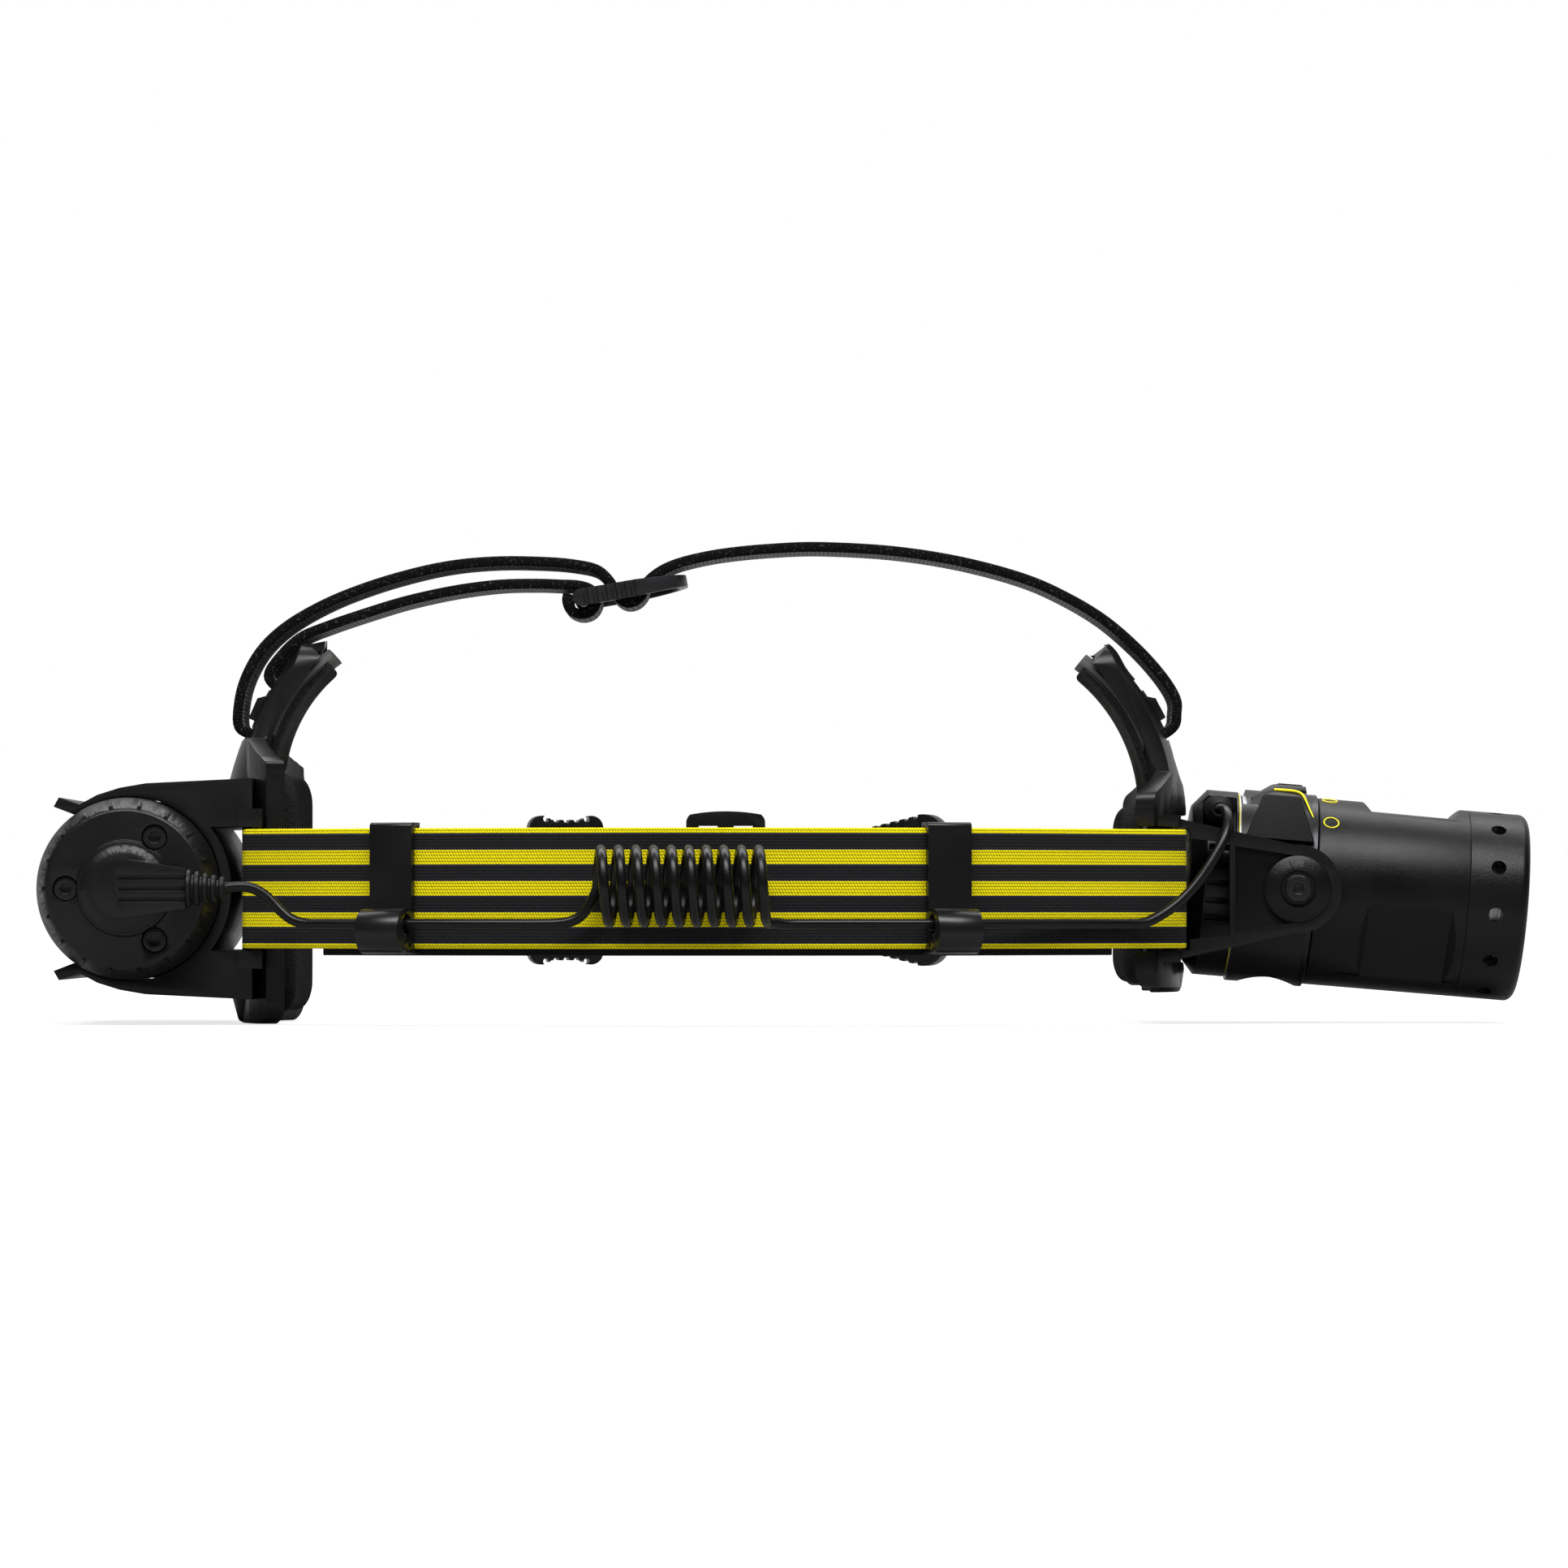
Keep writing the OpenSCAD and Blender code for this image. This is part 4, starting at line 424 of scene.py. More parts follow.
bandWeave = makeBandMaterial("bandWeave")
bandPlain = makeBandMaterial("bandPlain", plain=True)
strapFace = makeWebbing("strapFace", (0.003, 0.003, 0.0035), (0.04, 0.04, 0.045), False)
strapBack = makeWebbing("strapBack", (0.22, 0.225, 0.245), (0.25, 0.25, 0.27), True)
foamBlack = makeFoam("foamBlack", (0.012, 0.012, 0.0125))
print("finishes made")


# ---- camera, floor and light

view = {
    "place": (0.0201, -1.9, -0.0065),
    "lens": 159.32,          # on a 36 mm sensor
    "shiftY": 0.0823,
    "floorZ": -0.0365,
}
cameraData = bpy.data.cameras.new("camera")
cameraData.sensor_width = 36
cameraData.lens = view["lens"]
cameraData.shift_y = view["shiftY"]
cameraData.clip_start = 0.01
cameraData.clip_end = 60
camera = bpy.data.objects.new("camera", cameraData)
camera.location = view["place"]
camera.rotation_euler = (radians(90), 0, 0)
scene.collection.objects.link(camera)
scene.camera = camera


# Whether the eye sees it, straight or through glass, and whether a reflection does
def raysOf(tree):
    rays = addNode("LightPath", {}, tree).outputs
    return calc("MAXIMUM", rays["Is Camera Ray"], rays["Is Transmission Ray"]), rays["Is Glossy Ray"]


def makeFloorMaterial():
    material, tree, shader = startMaterial("paleFloor", (0.3, 0.3, 0.3), 0.8, 0.1)
    x, y = splitAxes(coords(tree))
    away = calc("SQRT", plus(times(x, x), times(y, y)))
    seen, glossy = raysOf(tree)
    seen = times(seen, ramp(away, 0.3, 1.2, 0.76, 1.0))
    # in reflections the floor pales towards the backdrop
    reflected = times(glossy, ramp(y, 0.1, 1.2, 0.0, 0.8))
    lift = addNode("Emission", {"Color": (1, 1, 1), "Strength": calc("MAXIMUM", seen, reflected)})
    both = addNode("AddShader", {0: shader.outputs["BSDF"], 1: lift.outputs["Emission"]})
    feed(tree.nodes["Material Output"], {"Surface": both.outputs["Shader"]})
    return material


bpy.ops.object.select_all(action="DESELECT")
bpy.ops.mesh.primitive_plane_add(size=40, location=(0, 0, view["floorZ"]))
floor = bpy.context.object
floor.name = "floor"
floor.data.materials.append(makeFloorMaterial())


# White to the eye; darker in reflections, paler behind the part than before it
def makeWorld():
    diffuseLight, before, behind = 0.35, 0.04, 0.55
    world = bpy.data.worlds.new("paleWorld")
    scene.world = world
    world.use_nodes = True
    tree = world.node_tree
    seen, glossy = raysOf(tree)
    y = splitAxes(coords(tree, "Generated"))[1]
    reflected = times(glossy, ramp(y, 0.4, 0.8, before, behind))
    diffuse = times(calc("SUBTRACT", 1.0, glossy), diffuseLight)
    level = calc("MAXIMUM", calc("MAXIMUM", seen, reflected), diffuse)
    feed(tree.nodes["Background"], {"Color": (1, 1, 1), "Strength": level})


makeWorld()


def addLamp(name, place, target, size, watts):
    data = bpy.data.lights.new(name, "AREA")
    data.shape = "RECTANGLE"
    data.size, data.size_y = size
    data.energy = watts
    lamp = bpy.data.objects.new(name, data)
    lamp.location = place
    lamp.rotation_euler = (Vector(target) - Vector(place)).to_track_quat("-Z", "Y").to_euler()
    scene.collection.objects.link(lamp)


addLamp("frontSoftbox", (0.05, -0.95, 1.7), (0.0, 0.0, 0.02), (2.3, 0.55), 52)
addLamp("backSoftbox", (0.0, 0.8, 1.45), (0.0, 0.0, 0.03), (2.4, 0.6), 20)
print("camera, floor and light set")


# ---- moulded and turned pieces carried over from the frame, with their edges rounded

# Arms of both brackets by side, 1 front and -1 rear, in mm: x of the plate, height of the arm's
# centre, radius of the arm and of the plate
arms = {1: (128.5, 22.0, 57.0, 76.0), -1: (128.0, 28.0, 51.0, 85.0)}
plateThick = 4.4

# Corners that take a wide rounding: |y| and z of the corner and radius, in mm
wideCorners = {
    "front_bracket": [(35.7, 25.5, 2.6), (21.5, 32.0, 2.6)],
    "rear_bracket": [(38.2, 34.0, 3.0), (21.5, 41.0, 3.0)],
}


def roundCorner(piece, y, z, radius):
    near, shortest = 0.9, 2.5

    def atCorner(edge):
        ends = [piece.data.vertices[i].co / mm for i in edge.vertices]
        return (ends[0] - ends[1]).length > shortest and all(
            abs(abs(end.y) - y) < near and abs(end.z - z) < near for end in ends)

    pick(piece, "EDGE", atCorner)
    bpy.ops.mesh.bevel(offset=radius * mm, segments=5, affect="EDGES", clamp_overlap=True)
    toMode("OBJECT")


# The arm tips end level: start of the end face in degrees, and how far its outer and its inner
# edge move in x and z
levelTips = {
    "front_bracket": {"side": 1, "start": 52.5, "outer": (3.0, -0.2), "inner": (0.3, 2.6)},
    "rear_bracket": {"side": -1, "start": 53.0, "outer": (-3.4, -0.3), "inner": (-0.6, 2.2)},
}
tipArea = {"halfWidth": 22.3, "lowest": 55, "outer": 12, "inner": 3.6}


def levelTip(piece, tip):
    side = tip["side"]
    armX, armZ, armR, plateR = arms[side]
    for edge in ("outer", "inner"):
        def atEdge(vertex):
            x, y, z = vertex.co / mm
            if abs(y) >= tipArea["halfWidth"] or z <= tipArea["lowest"]:
                return False
            across, up = side * x - (armX - armR), z - armZ
            middle = armR - plateR + sqrt((plateR - plateThick / 2) ** 2 - y * y)
            atEnd = degrees(atan2(up, across)) > tip["start"]
            return atEnd and (hypot(across, up) > middle) == (edge == "outer")

        pick(piece, "VERT", atEdge)
        moveX, moveZ = tip[edge]
        bpy.ops.transform.translate(value=(moveX * mm, 0, moveZ * mm), use_proportional_edit=True,
                                    proportional_edit_falloff="SMOOTH",
                                    proportional_size=tipArea[edge] * mm)
        toMode("OBJECT")


def roundedCopy(nodeName, slotName, material, width):
    piece = freshPiece(nodeName + "_rounded", cadNodes[nodeName].data.copy())
    editAll(piece)
    bpy.ops.mesh.remove_doubles(threshold=2e-6)
    bpy.ops.mesh.dissolve_limited(angle_limit=radians(0.4))
    toMode("OBJECT")
    for corner in wideCorners.get(nodeName, []):
        roundCorner(piece, *corner)
    if nodeName in levelTips:
        levelTip(piece, levelTips[nodeName])
    bevelEdges(piece, width, 2, 35)
    smoothByAngle(piece)
    dress(piece, bodyOf[nodeName], slotName, material)
    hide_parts(nodeName)
    print("rounded", nodeName)
    return piece


# slot, finish and the edge width of each node in mm
carriedOver = [
    ("black_plastic", blackPlastic, {"front_bracket": 0.7, "rear_bracket": 0.7, "battery_cradle": 0.45}),
    ("grey_plastic", padPlateGrey, {"front_pad_plate": 0.25, "rear_pad_plate": 0.25}),
    ("black_plastic", blackPlastic, {"far_slider": 0.4, "far_adjuster": 0.4, "band_keeper": 0.3}),
    ("black_plastic", satinBlack, {"cable_clip_rear": 0.35, "cable_clip_front": 0.35}),
    ("black_plastic", sliderGrey, {"top_strap_slider": 0.5}),
    ("black_plastic", matteBlack, {"drum_shell": 0.2, "near_end_cap": 0.3, "far_end_cap": 0.3}),
    ("dark_metal", screwBlack, {"cap_screws": 0.2}),
    ("black_plastic", matteBlack, {"cable_plug": 0.25}),
    ("black_plastic", blackPlastic, {"pivot_collar": 0.3}),
    ("black_plastic", lampBlack, {"rear_cap": 0.4}),
    ("soft_rubber", softRubber, {"power_button": 0.5}),
    ("black_plastic", lampBlack, {"pivot_washers": 0.2}),
    ("dark_metal", screwBlack, {"pivot_screws": 0.2}),
    ("black_plastic", lampBlack, {"focus_sleeve": 0.25}),
    ("soft_rubber", softRubber, {"cable_grommet": 0.25}),
    ("screw_steel", screwBlack, {"cradle_screws": 0.2}),
]
rounded = {}
for slotName, finish, widths in carriedOver:
    for nodeName, width in widths.items():
        rounded[nodeName] = roundedCopy(nodeName, slotName, finish, width)

# The sunk faces of the yoke arms take a darker, rougher, more grained finish
sunk = {"y": 30.2, "give": 0.12, "fromX": 133.0}
yoke = rounded["front_bracket"].data
yoke.materials.append(recessBlack)
for face in yoke.polygons:
    x, y, z = face.center / mm
    level = abs(abs(y) - sunk["y"]) < sunk["give"] and abs(face.normal.y) > 0.9
    face.material_index = int(level and x > sunk["fromX"])

keptAsIs = {
    "battery_cells": cellWrap, "cell_holders": blackPlastic, "battery_board": boardGreen,
    "drum_seals": sealRed, "lamp_housing": brightMetal, "pivot_spacers": softRubber,
    "rear_cap_seal": softRubber, "driver_board": boardGreen,
    "led_board": brightMetal, "led_emitter": emitterYellow, "button_switch": darkMetal,
    "front_glass": glassClear, "glass_seal": softRubber, "lens_carriage": blackPlastic,
    "focus_lens": lensClear, "drive_pins": brightMetal,
}
for nodeName, finish in keptAsIs.items():
    mesh = cadNodes[nodeName].data
    if not mesh.materials:
        mesh.materials.append(finish)
    for place in cadNodes[nodeName].material_slots:
        place.material = finish
print("kept nodes finished")


# ---- headband

band = {
    "width": 32.0, "thick": 2.0, "loopHalf": 78.0, "sideR": 300.0, "sideHalf": 30.0,
    "barR": 1.5, "foldGap": 0.15, "converge": 12.0, "tail": 14.6, "round": 0.62,
    "rearBar": (121.4, -41.0), "frontBar": (124.8, -31.5),
    "liningGap": 1.6, "liningThick": 1.2, "liningDrop": 1.8, "liningTrim": 22.0, "liningRound": 0.45,
    "plyTrim": 15.0, "plyGap": 0.05, "plyThin": 0.1, "sliderX": -42.5, "adjusterX": 57.0,
}


def plan(x, y):
    return Vector((x, y, 0))


sideSteps, endSteps, foldSteps, tailSteps = 40, 46, 22, 8
foldIn = band["thick"] + band["barR"] + band["foldGap"]
sideCentre = plan(0, band["sideR"] - band["loopHalf"])
joinA = asin(band["sideHalf"] / band["sideR"])
joinPoint = sideCentre + (band["sideR"] - foldIn) * plan(sin(joinA), -cos(joinA))


# The arc from the side to a bar: its centre, radius and heading at the bar
def endArc(bar):
    bar = plan(*bar)
    chord = bar - joinPoint
    slope = atan2(chord.y, chord.x)
    heading = 2 * slope - joinA
    radius = chord.length / (2 * sin(slope - joinA)) + foldIn
    centre = joinPoint + (radius - foldIn) * plan(-sin(joinA), cos(joinA))
    return centre, radius, heading


def arcPoints(centre, radius, start, stop, count):
    turns = [start + (stop - start) * i / count for i in range(count + 1)]
    outs = [plan(cos(a), sin(a)) for a in turns]
    return [(centre + radius * out, out) for out in outs]


# Half of the band from the side arc to a bar, drawn towards +X, as (point, outward) pairs
def halfRun(bar, inset, trim):
    centre, radius, heading = endArc(bar)
    stop = heading - pi / 2 - trim / radius
    return arcPoints(centre, radius - inset, joinA - pi / 2, stop, endSteps)


def foldRun(bar):
    heading = endArc(bar)[2]
    mid = band["barR"] + band["foldGap"] + band["thick"] / 2
    spread = radians(band["converge"])
    ring = arcPoints(plan(*bar), mid, heading - pi / 2, heading + pi / 2 + spread, foldSteps)
    last, out = ring[-1]
    back = plan(-out.y, out.x)
    # the tail runs back beside the outer layer without touching it
    straight = [(last + back * band["tail"] * i / tailSteps, out) for i in range(1, tailSteps + 1)]
    return ring[1:] + straight


# The same run mirrored front to back, or side to side with 1, -1
def mirrored(run, x=-1, y=1):
    return [(plan(x * p.x, y * p.y), plan(x * n.x, y * n.y)) for p, n in reversed(run)]


def layerRun(inset, trim=0.0):
    rear, front = mirrored(halfRun(band["rearBar"], inset, trim)), halfRun(band["frontBar"], inset, trim)
    side = arcPoints(sideCentre, band["sideR"] - inset, -pi / 2 - joinA, -pi / 2 + joinA, sideSteps)
    return rear[:-1] + side + front[1:]


# Rounded strip along a run; the UV map holds real lengths in metres
def stripMesh(name, run, halfWidth, thick, roundness, axis=Vector((0, 0, 1)), shift=0.0):
    # cross-section as (outward, across) in mm, its outer face first
    half, columns, turnSteps = thick / 2, 16, 4
    section = [(half, -halfWidth + roundness + (2 * halfWidth - 2 * roundness) * i / columns)
               for i in range(columns + 1)]
    for k in range(1, turnSteps):
        a = pi / 2 * k / turnSteps
        section.append((half - roundness + roundness * cos(a),
                        halfWidth - roundness + roundness * sin(a)))
    lowEdge = [(n, -w) for n, w in reversed(section[columns + 1:])]
    section += [(-n, w) for n, w in reversed(section)] + [(-n, w) for n, w in reversed(lowEdge)] + lowEdge
    rings, lengths = [], [0.0]
    for i, (point, out) in enumerate(run):
        if i:
            lengths.append(lengths[-1] + (point - run[i - 1][0]).length)
        rings.append([point + out * n + axis * (w + shift) for n, w in section])
    piece = skinMesh(name, rings)
    mesh, count = piece.data, len(section)
    layer = mesh.uv_layers.new(name="cloth")
    for loop, spot in zip(mesh.loops, layer.data):
        ring, k = divmod(loop.vertex_index, count)
        spot.uv = (lengths[ring] * mm, section[k][1] * mm)
    # the inner half of the section takes the second finish
    for face in mesh.polygons[:-2]:
        k = face.index % count
        face.material_index = int(section[k][0] < 0 and section[(k + 1) % count][0] < 0)
    outwards(piece)
    smoothByAngle(piece, 50)
    return piece


def bandStrip(name, run, thick=band["thick"], roundness=band["round"], shift=0.0):
    return stripMesh(name, run, band["width"] / 2, thick, roundness, shift=shift)


outerLayer = mirrored(foldRun(band["rearBar"])) + layerRun(band["thick"] / 2) + foldRun(band["frontBar"])
nearBand = bandStrip("headbandNear", outerLayer)
dress(nearBand, "headgear", "striped_band", bandWeave, bandWeave)
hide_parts("headband_near")

plies = [bandStrip("headbandFarOuter", mirrored(outerLayer, 1, -1))]
for bar, x, side in ((band["frontBar"], band["adjusterX"], 1), (band["rearBar"], -band["sliderX"], -1)):
    centre, radius, heading = endArc(bar)
    start = asin((x - centre.x) / radius) - pi / 2
    stop = heading - pi / 2 - band["plyTrim"] / radius
    ply = arcPoints(centre, radius - band["thick"] * 1.5 - band["plyGap"], start, stop, sideSteps)
    if side < 0:
        ply = mirrored(ply)
    plies.append(bandStrip("ply", mirrored(ply, 1, -1), band["thick"] - band["plyThin"]))
farBand = joinPieces(plies, "headbandFar")
dress(farBand, "headgear", "striped_band", bandWeave, bandWeave)
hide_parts("headband_far")

liningInset = band["thick"] + band["liningGap"] + band["liningThick"] / 2
lining = bandStrip("bandLining", layerRun(liningInset, band["liningTrim"]), band["liningThick"],
                   band["liningRound"], -band["liningDrop"])
dress(lining, "headgear", "band_lining", bandPlain, bandPlain)
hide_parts("band_lining")
print("headband made")


# ---- smooth curves through route points

def splinePoints(points, steps):
    last = len(points) - 1
    made = []
    for i in range(last):
        p0, p1 = points[max(i - 1, 0)], points[i]
        p2, p3 = points[i + 1], points[min(i + 2, last)]
        for j in range(steps):
            t = j / steps
            made.append(0.5 * (2 * p1 + (p2 - p0) * t + (2 * p0 - 5 * p1 + 4 * p2 - p3) * t * t
                               + (3 * p1 - p0 - 3 * p2 + p3) * t ** 3))
    return made + [points[last]]


# ---- top strap

strap = {
    "width": 25.0, "thick": 2.4, "shown": 2.8, "round": 0.75, "behindPlate": 1.385,
    "slotLow": 42.5, "slotHigh": 56.0,
}
strapIn = -plateThick - strap["thick"] / 2 - strap["behindPlate"]


# A point at some distance off a bracket's arm
def armPoint(side, off, height):
    x, z, r = arms[side][:3]
    a = asin((height - z) / r)
    return Vector((side * (x - r + (r + off) * cos(a)), 0, z + (r + off) * sin(a)))


def upright(pairs):
    return [Vector((x, 0, z)) for x, z in pairs]


low, high, halfPlate = strap["slotLow"], strap["slotHigh"], plateThick / 2
strapRoute = [
    armPoint(1, strapIn, 53), armPoint(1, strapIn, 47.5), armPoint(1, strapIn + 0.6, low + 0.4),
    armPoint(1, -halfPlate, low), armPoint(1, 2.2, low + 1.1)]
strapRoute += upright([
    (126.9, 47.9), (126.7, 51.8), (123.3, 57.5), (116.7, 65), (107.4, 73.1), (96.8, 79.5), (85.1, 84.6),
    (68.1, 89.15), (49.7, 92), (30, 93.1), (16, 92.6), (4, 91.4), (-5, 89.7), (-11, 87.8), (-15, 85.5),
    (-17.6, 82.9), (-18.4, 80.3), (-20.2, 78.4), (-22.6, 77.9), (-24.8, 79.2), (-26, 81.6),
    (-28, 84.6), (-31, 87), (-36, 88.2), (-44, 89), (-58, 89.2), (-71.6, 87.9), (-85.4, 84.7),
    (-98, 80.5), (-107.9, 76), (-116.2, 70.8), (-122.3, 64.8), (-126.4, 57.5), (-128.2, 50.5)])
strapRoute += [
    armPoint(-1, 2.6, low + 0.8), armPoint(-1, -halfPlate, low), armPoint(-1, strapIn + 0.6, low + 0.4),
    armPoint(-1, strapIn, 47), armPoint(-1, strapIn, 51.5), armPoint(-1, strapIn + 0.6, high - 0.4),
    armPoint(-1, -halfPlate, high), armPoint(-1, 1.6, high + 1.2)]
strapRoute += upright([
    (-117.4, 62.8), (-111.7, 68.3), (-104.3, 71.5), (-94, 75), (-82.8, 78.4), (-70, 81.2), (-58, 82.8),
    (-48, 83.1), (-41, 82.9), (-35.6, 82.6), (-32.2, 81.3), (-30.9, 78.6), (-32.2, 75.8),
    (-35, 74.8), (-37.8, 75.9), (-38.9, 78.4), (-38.6, 80.4)])


def courseAt(points, i):
    return (points[min(i + 1, len(points) - 1)] - points[max(i - 1, 0)]).normalized()


def strapRun(points):
    courses = [courseAt(points, i) for i in range(len(points))]
    return [(point, Vector((along.z, 0, -along.x))) for point, along in zip(points, courses)]


topStrap = stripMesh("topStrap", strapRun(splinePoints(strapRoute, 5)), strap["width"] / 2, strap["shown"],
                     strap["round"], Vector((0, 1, 0)))
# the cross-ribbed finish is on the faces that look in towards the head
headMiddle = Vector((0, 0, 0.015))
for face in topStrap.data.polygons:
    inward = (headMiddle - face.center).normalized().dot(face.normal)
    face.material_index = int(inward > 0.35 and abs(face.normal.y) < 0.5)
dress(topStrap, "headgear", "strap", strapFace, strapBack)
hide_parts("top_strap")
print("top strap made")


# ---- lead

lead = {
    "radius": 1.4, "sides": 20, "coilX": -28.9, "coilY": -89.5, "coilZ": 0.5, "coilR": 9.45,
    "pitch": 4.58, "turns": 9.75, "stepsPerTurn": 8,
}


def spots(rows):
    return [Vector(row) for row in rows]


def onCoil(turn):
    a = radians(turn * 360)
    return Vector((lead["coilX"] + lead["pitch"] * turn, lead["coilY"] + lead["coilR"] * cos(a),
                   lead["coilZ"] + lead["coilR"] * sin(a)))


rearJoin = (-103, -62.2, -9.4)
frontJoin = (108, -50.6, -9.4)
batteryRoute = spots([
    (-130.5, -58.5, 0.1), (-127, -58.5, 0.3), (-124, -58.2, 0.5), (-120.8, -57.8, 0),
    (-117.2, -57.6, -2.2), (-113.8, -58.2, -5.6), (-110.4, -59.4, -8.2), (-106.6, -60.8, -9.3), rearJoin])
rearRoute = spots([
    rearJoin, (-98, -64.2, -9.4), (-90, -67.3, -9.4), (-82, -70, -9.4), (-74, -72.6, -9.4),
    (-64, -75.4, -9.4), (-54, -77.6, -9.4), (-45, -79.2, -9.4), (-38.4, -80, -9.2), (-34.2, -80.3, -8),
    (-31.4, -80.3, -5.2), (-29.8, -80.15, -2.2)])
frontRoute = spots([
    (17.6, -87.2, -9.1), (20.4, -85.6, -9.4), (24, -84.3, -9.4), (30, -82.9, -9.4), (39, -81, -9.4),
    (48, -79.2, -9.4), (56, -77.4, -9.4), (64, -74.8, -9.4), (72, -71.6, -9.4), (82, -66.4, -9.4),
    (92, -60.6, -9.4), (100, -55.6, -9.4), frontJoin])
lampRoute = spots([
    frontJoin, (112, -48.1, -9.4), (116.5, -45.7, -9.1), (121.5, -43.2, -6.7), (126.6, -41.2, -3.0),
    (131.2, -39.6, 1.9), (134.9, -38.0, 7.3), (137.9, -35.8, 12.6), (139.5, -32.6, 17.2),
    (139.4, -28.3, 20.6), (138.3, -24, 21.6), (138.1, -20.5, 21.6)])
turnCount = int(lead["turns"] * lead["stepsPerTurn"])
coilRoute = [onCoil(i / lead["stepsPerTurn"]) for i in range(turnCount + 1)]


def tubeMesh(name, points):
    turns = [2 * pi * k / lead["sides"] for k in range(lead["sides"])]
    rings, side = [], Vector((0, 0, 1))
    for i, point in enumerate(points):
        along = courseAt(points, i)
        side = (side - along * side.dot(along)).normalized()
        other = along.cross(side)
        rings.append([point + lead["radius"] * (cos(a) * side + sin(a) * other) for a in turns])
    piece = skinMesh(name, rings)
    outwards(piece)
    smoothByAngle(piece, 50)
    piece.data.materials.append(leadRubber)
    return piece


coiledLead = tubeMesh("leadCoiled", splinePoints(rearRoute + coilRoute + frontRoute, 6))
dress(coiledLead, "headgear", "lead_jacket", leadRubber)
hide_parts("cable_coiled")

batteryLead = tubeMesh("leadBatteryEnd", splinePoints(batteryRoute, 8))
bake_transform(batteryLead)
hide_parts("cable_battery_end")

lampLead = tubeMesh("leadLampEnd", splinePoints(lampRoute, 8))
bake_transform(lampLead)
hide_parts("cable_lamp_end")
print("lead made")


# ---- foam pads

pads = {
    "carrier": 1.2, "seat": 0.05,
    "upperHalf": 21.2, "upperCorner": 2.0, "upperThick": 4.6, "upperRound": 0.9, "upperCrown": 2.9,
    "groove": (0.62, 0.7, 0.16),      # height, depth and half width
    "hollow": {"depth": 3.0, "halfU": 14.6, "easeU": 1.2, "height": 47.7, "halfV": 11.5, "easeV": 1.5},
}
lowerPads = {
    "front_pad_lower": {"side": 1, "half": 25, "low": -25.6, "high": 23.0, "corner": 7.0, "thick": 7.0,
                        "round": 2.6, "crown": 0.6},
    "rear_pad_lower": {"side": -1, "half": 26, "low": -33.3, "high": 31.5, "corner": 8.0, "thick": 5.4,
                       "round": 2.2, "crown": 1.0},
}
upperPads = {
    "front_pad_upper": {"side": 1, "low": 3, "high": 51.5},
    "rear_pad_upper": {"side": -1, "low": 6, "high": 50.5},
}
padSeat = plateThick + pads["carrier"] + pads["seat"]


# Loops of a rounded rectangle, each drawn in from its edge by the profile's inset and raised by its height
def padMesh(name, halfU, lowV, highV, corner, profile, place):
    midV, halfV = (lowV + highV) / 2, (highV - lowV) / 2
    turnSteps, sideSteps, sharpest = 7, 30, 0.15

    def loopPoints(inset):
        hu, hv = halfU - inset, halfV - inset
        r = min(max(corner - inset, sharpest), hu, hv)
        u, v = hu - r, hv - r
        middles = (u, v), (-u, v), (-u, -v), (u, -v)
        nexts = (-u, hv), (-hu, -v), (u, -hv), (hu, v)
        points = []
        for quarter, ((cu, cv), (nextU, nextV)) in enumerate(zip(middles, nexts)):
            for k in range(turnSteps + 1):
                a = pi / 2 * (quarter + k / turnSteps)
                points.append((cu + r * cos(a), cv + r * sin(a)))
            startU, startV = points[-1]
            for k in range(1, sideSteps):
                t = k / sideSteps
                points.append((startU + (nextU - startU) * t, startV + (nextV - startV) * t))
        return points

    rings = [[Vector(place(u, v + midV, height)) for u, v in loopPoints(inset)] for inset, height in profile]
    piece = skinMesh(name, rings, closed=False)
    outwards(piece)
    for face in piece.data.polygons:
        face.use_smooth = True
    return piece


# Seat, side wall with an optional pressed groove, rolled edge and crowned face
def padProfile(thick, roundR, halfSmall, crown, groove):
    seatSteps, turnSteps, crownSteps, chamfer = 12, 7, 14, 0.35
    edge, inmost = thick - crown, halfSmall * 0.999
    profile = [(inmost * (1 - i / seatSteps) ** 1.3, 0.0) for i in range(seatSteps)]
    profile += [(chamfer, 0.0), (0.0, chamfer)]
    if groove:
        centre, depth, half = groove
        profile += [(0.0, centre - half * 1.6), (depth * 0.35, centre - half * 0.8), (depth, centre),
                    (depth * 0.35, centre + half * 0.8), (0.0, centre + half * 1.6)]
    for k in range(turnSteps + 1):
        a = pi / 2 * k / turnSteps
        profile.append((roundR * (1 - cos(a)), edge - roundR + roundR * sin(a) * 0.97))
    last = profile[-1][0]
    for i in range(1, crownSteps + 1):
        inset = last + (inmost - last) * (i / crownSteps) ** 1.1
        t = (inset - last) / (halfSmall - last)
        profile.append((inset, edge - roundR * 0.03 + crown * sin(pi / 2 * t) ** 0.8))
    return profile


def lowerPadPlace(side):
    x, plateR = arms[side][0], arms[side][3]
    radius = plateR - padSeat

    def place(u, v, height):
        a = u / radius
        rho = radius - height
        return (side * (x - plateR + rho * cos(a)), rho * sin(a), v)
    return place


def upperPadPlace(side):
    x, armZ, armR, plateR = arms[side]
    hollow = pads["hollow"]

    def place(u, v, height):
        a = v / armR
        depth = height
        if height < 0.01:
            # hollow where the strap passes behind
            off = abs(armZ + (armR - padSeat) * sin(a) - hollow["height"])
            reachU = min(1.0, max(0.0, (hollow["halfU"] - abs(u)) / hollow["easeU"]))
            reachV = min(1.0, max(0.0, (hollow["halfV"] - off) / hollow["easeV"]))
            depth = hollow["depth"] * min(reachU, reachV)
        rho = armR - plateR + sqrt((plateR - padSeat - depth) ** 2 - u * u)
        return (side * (x - armR + rho * cos(a)), u, armZ + rho * sin(a))
    return place


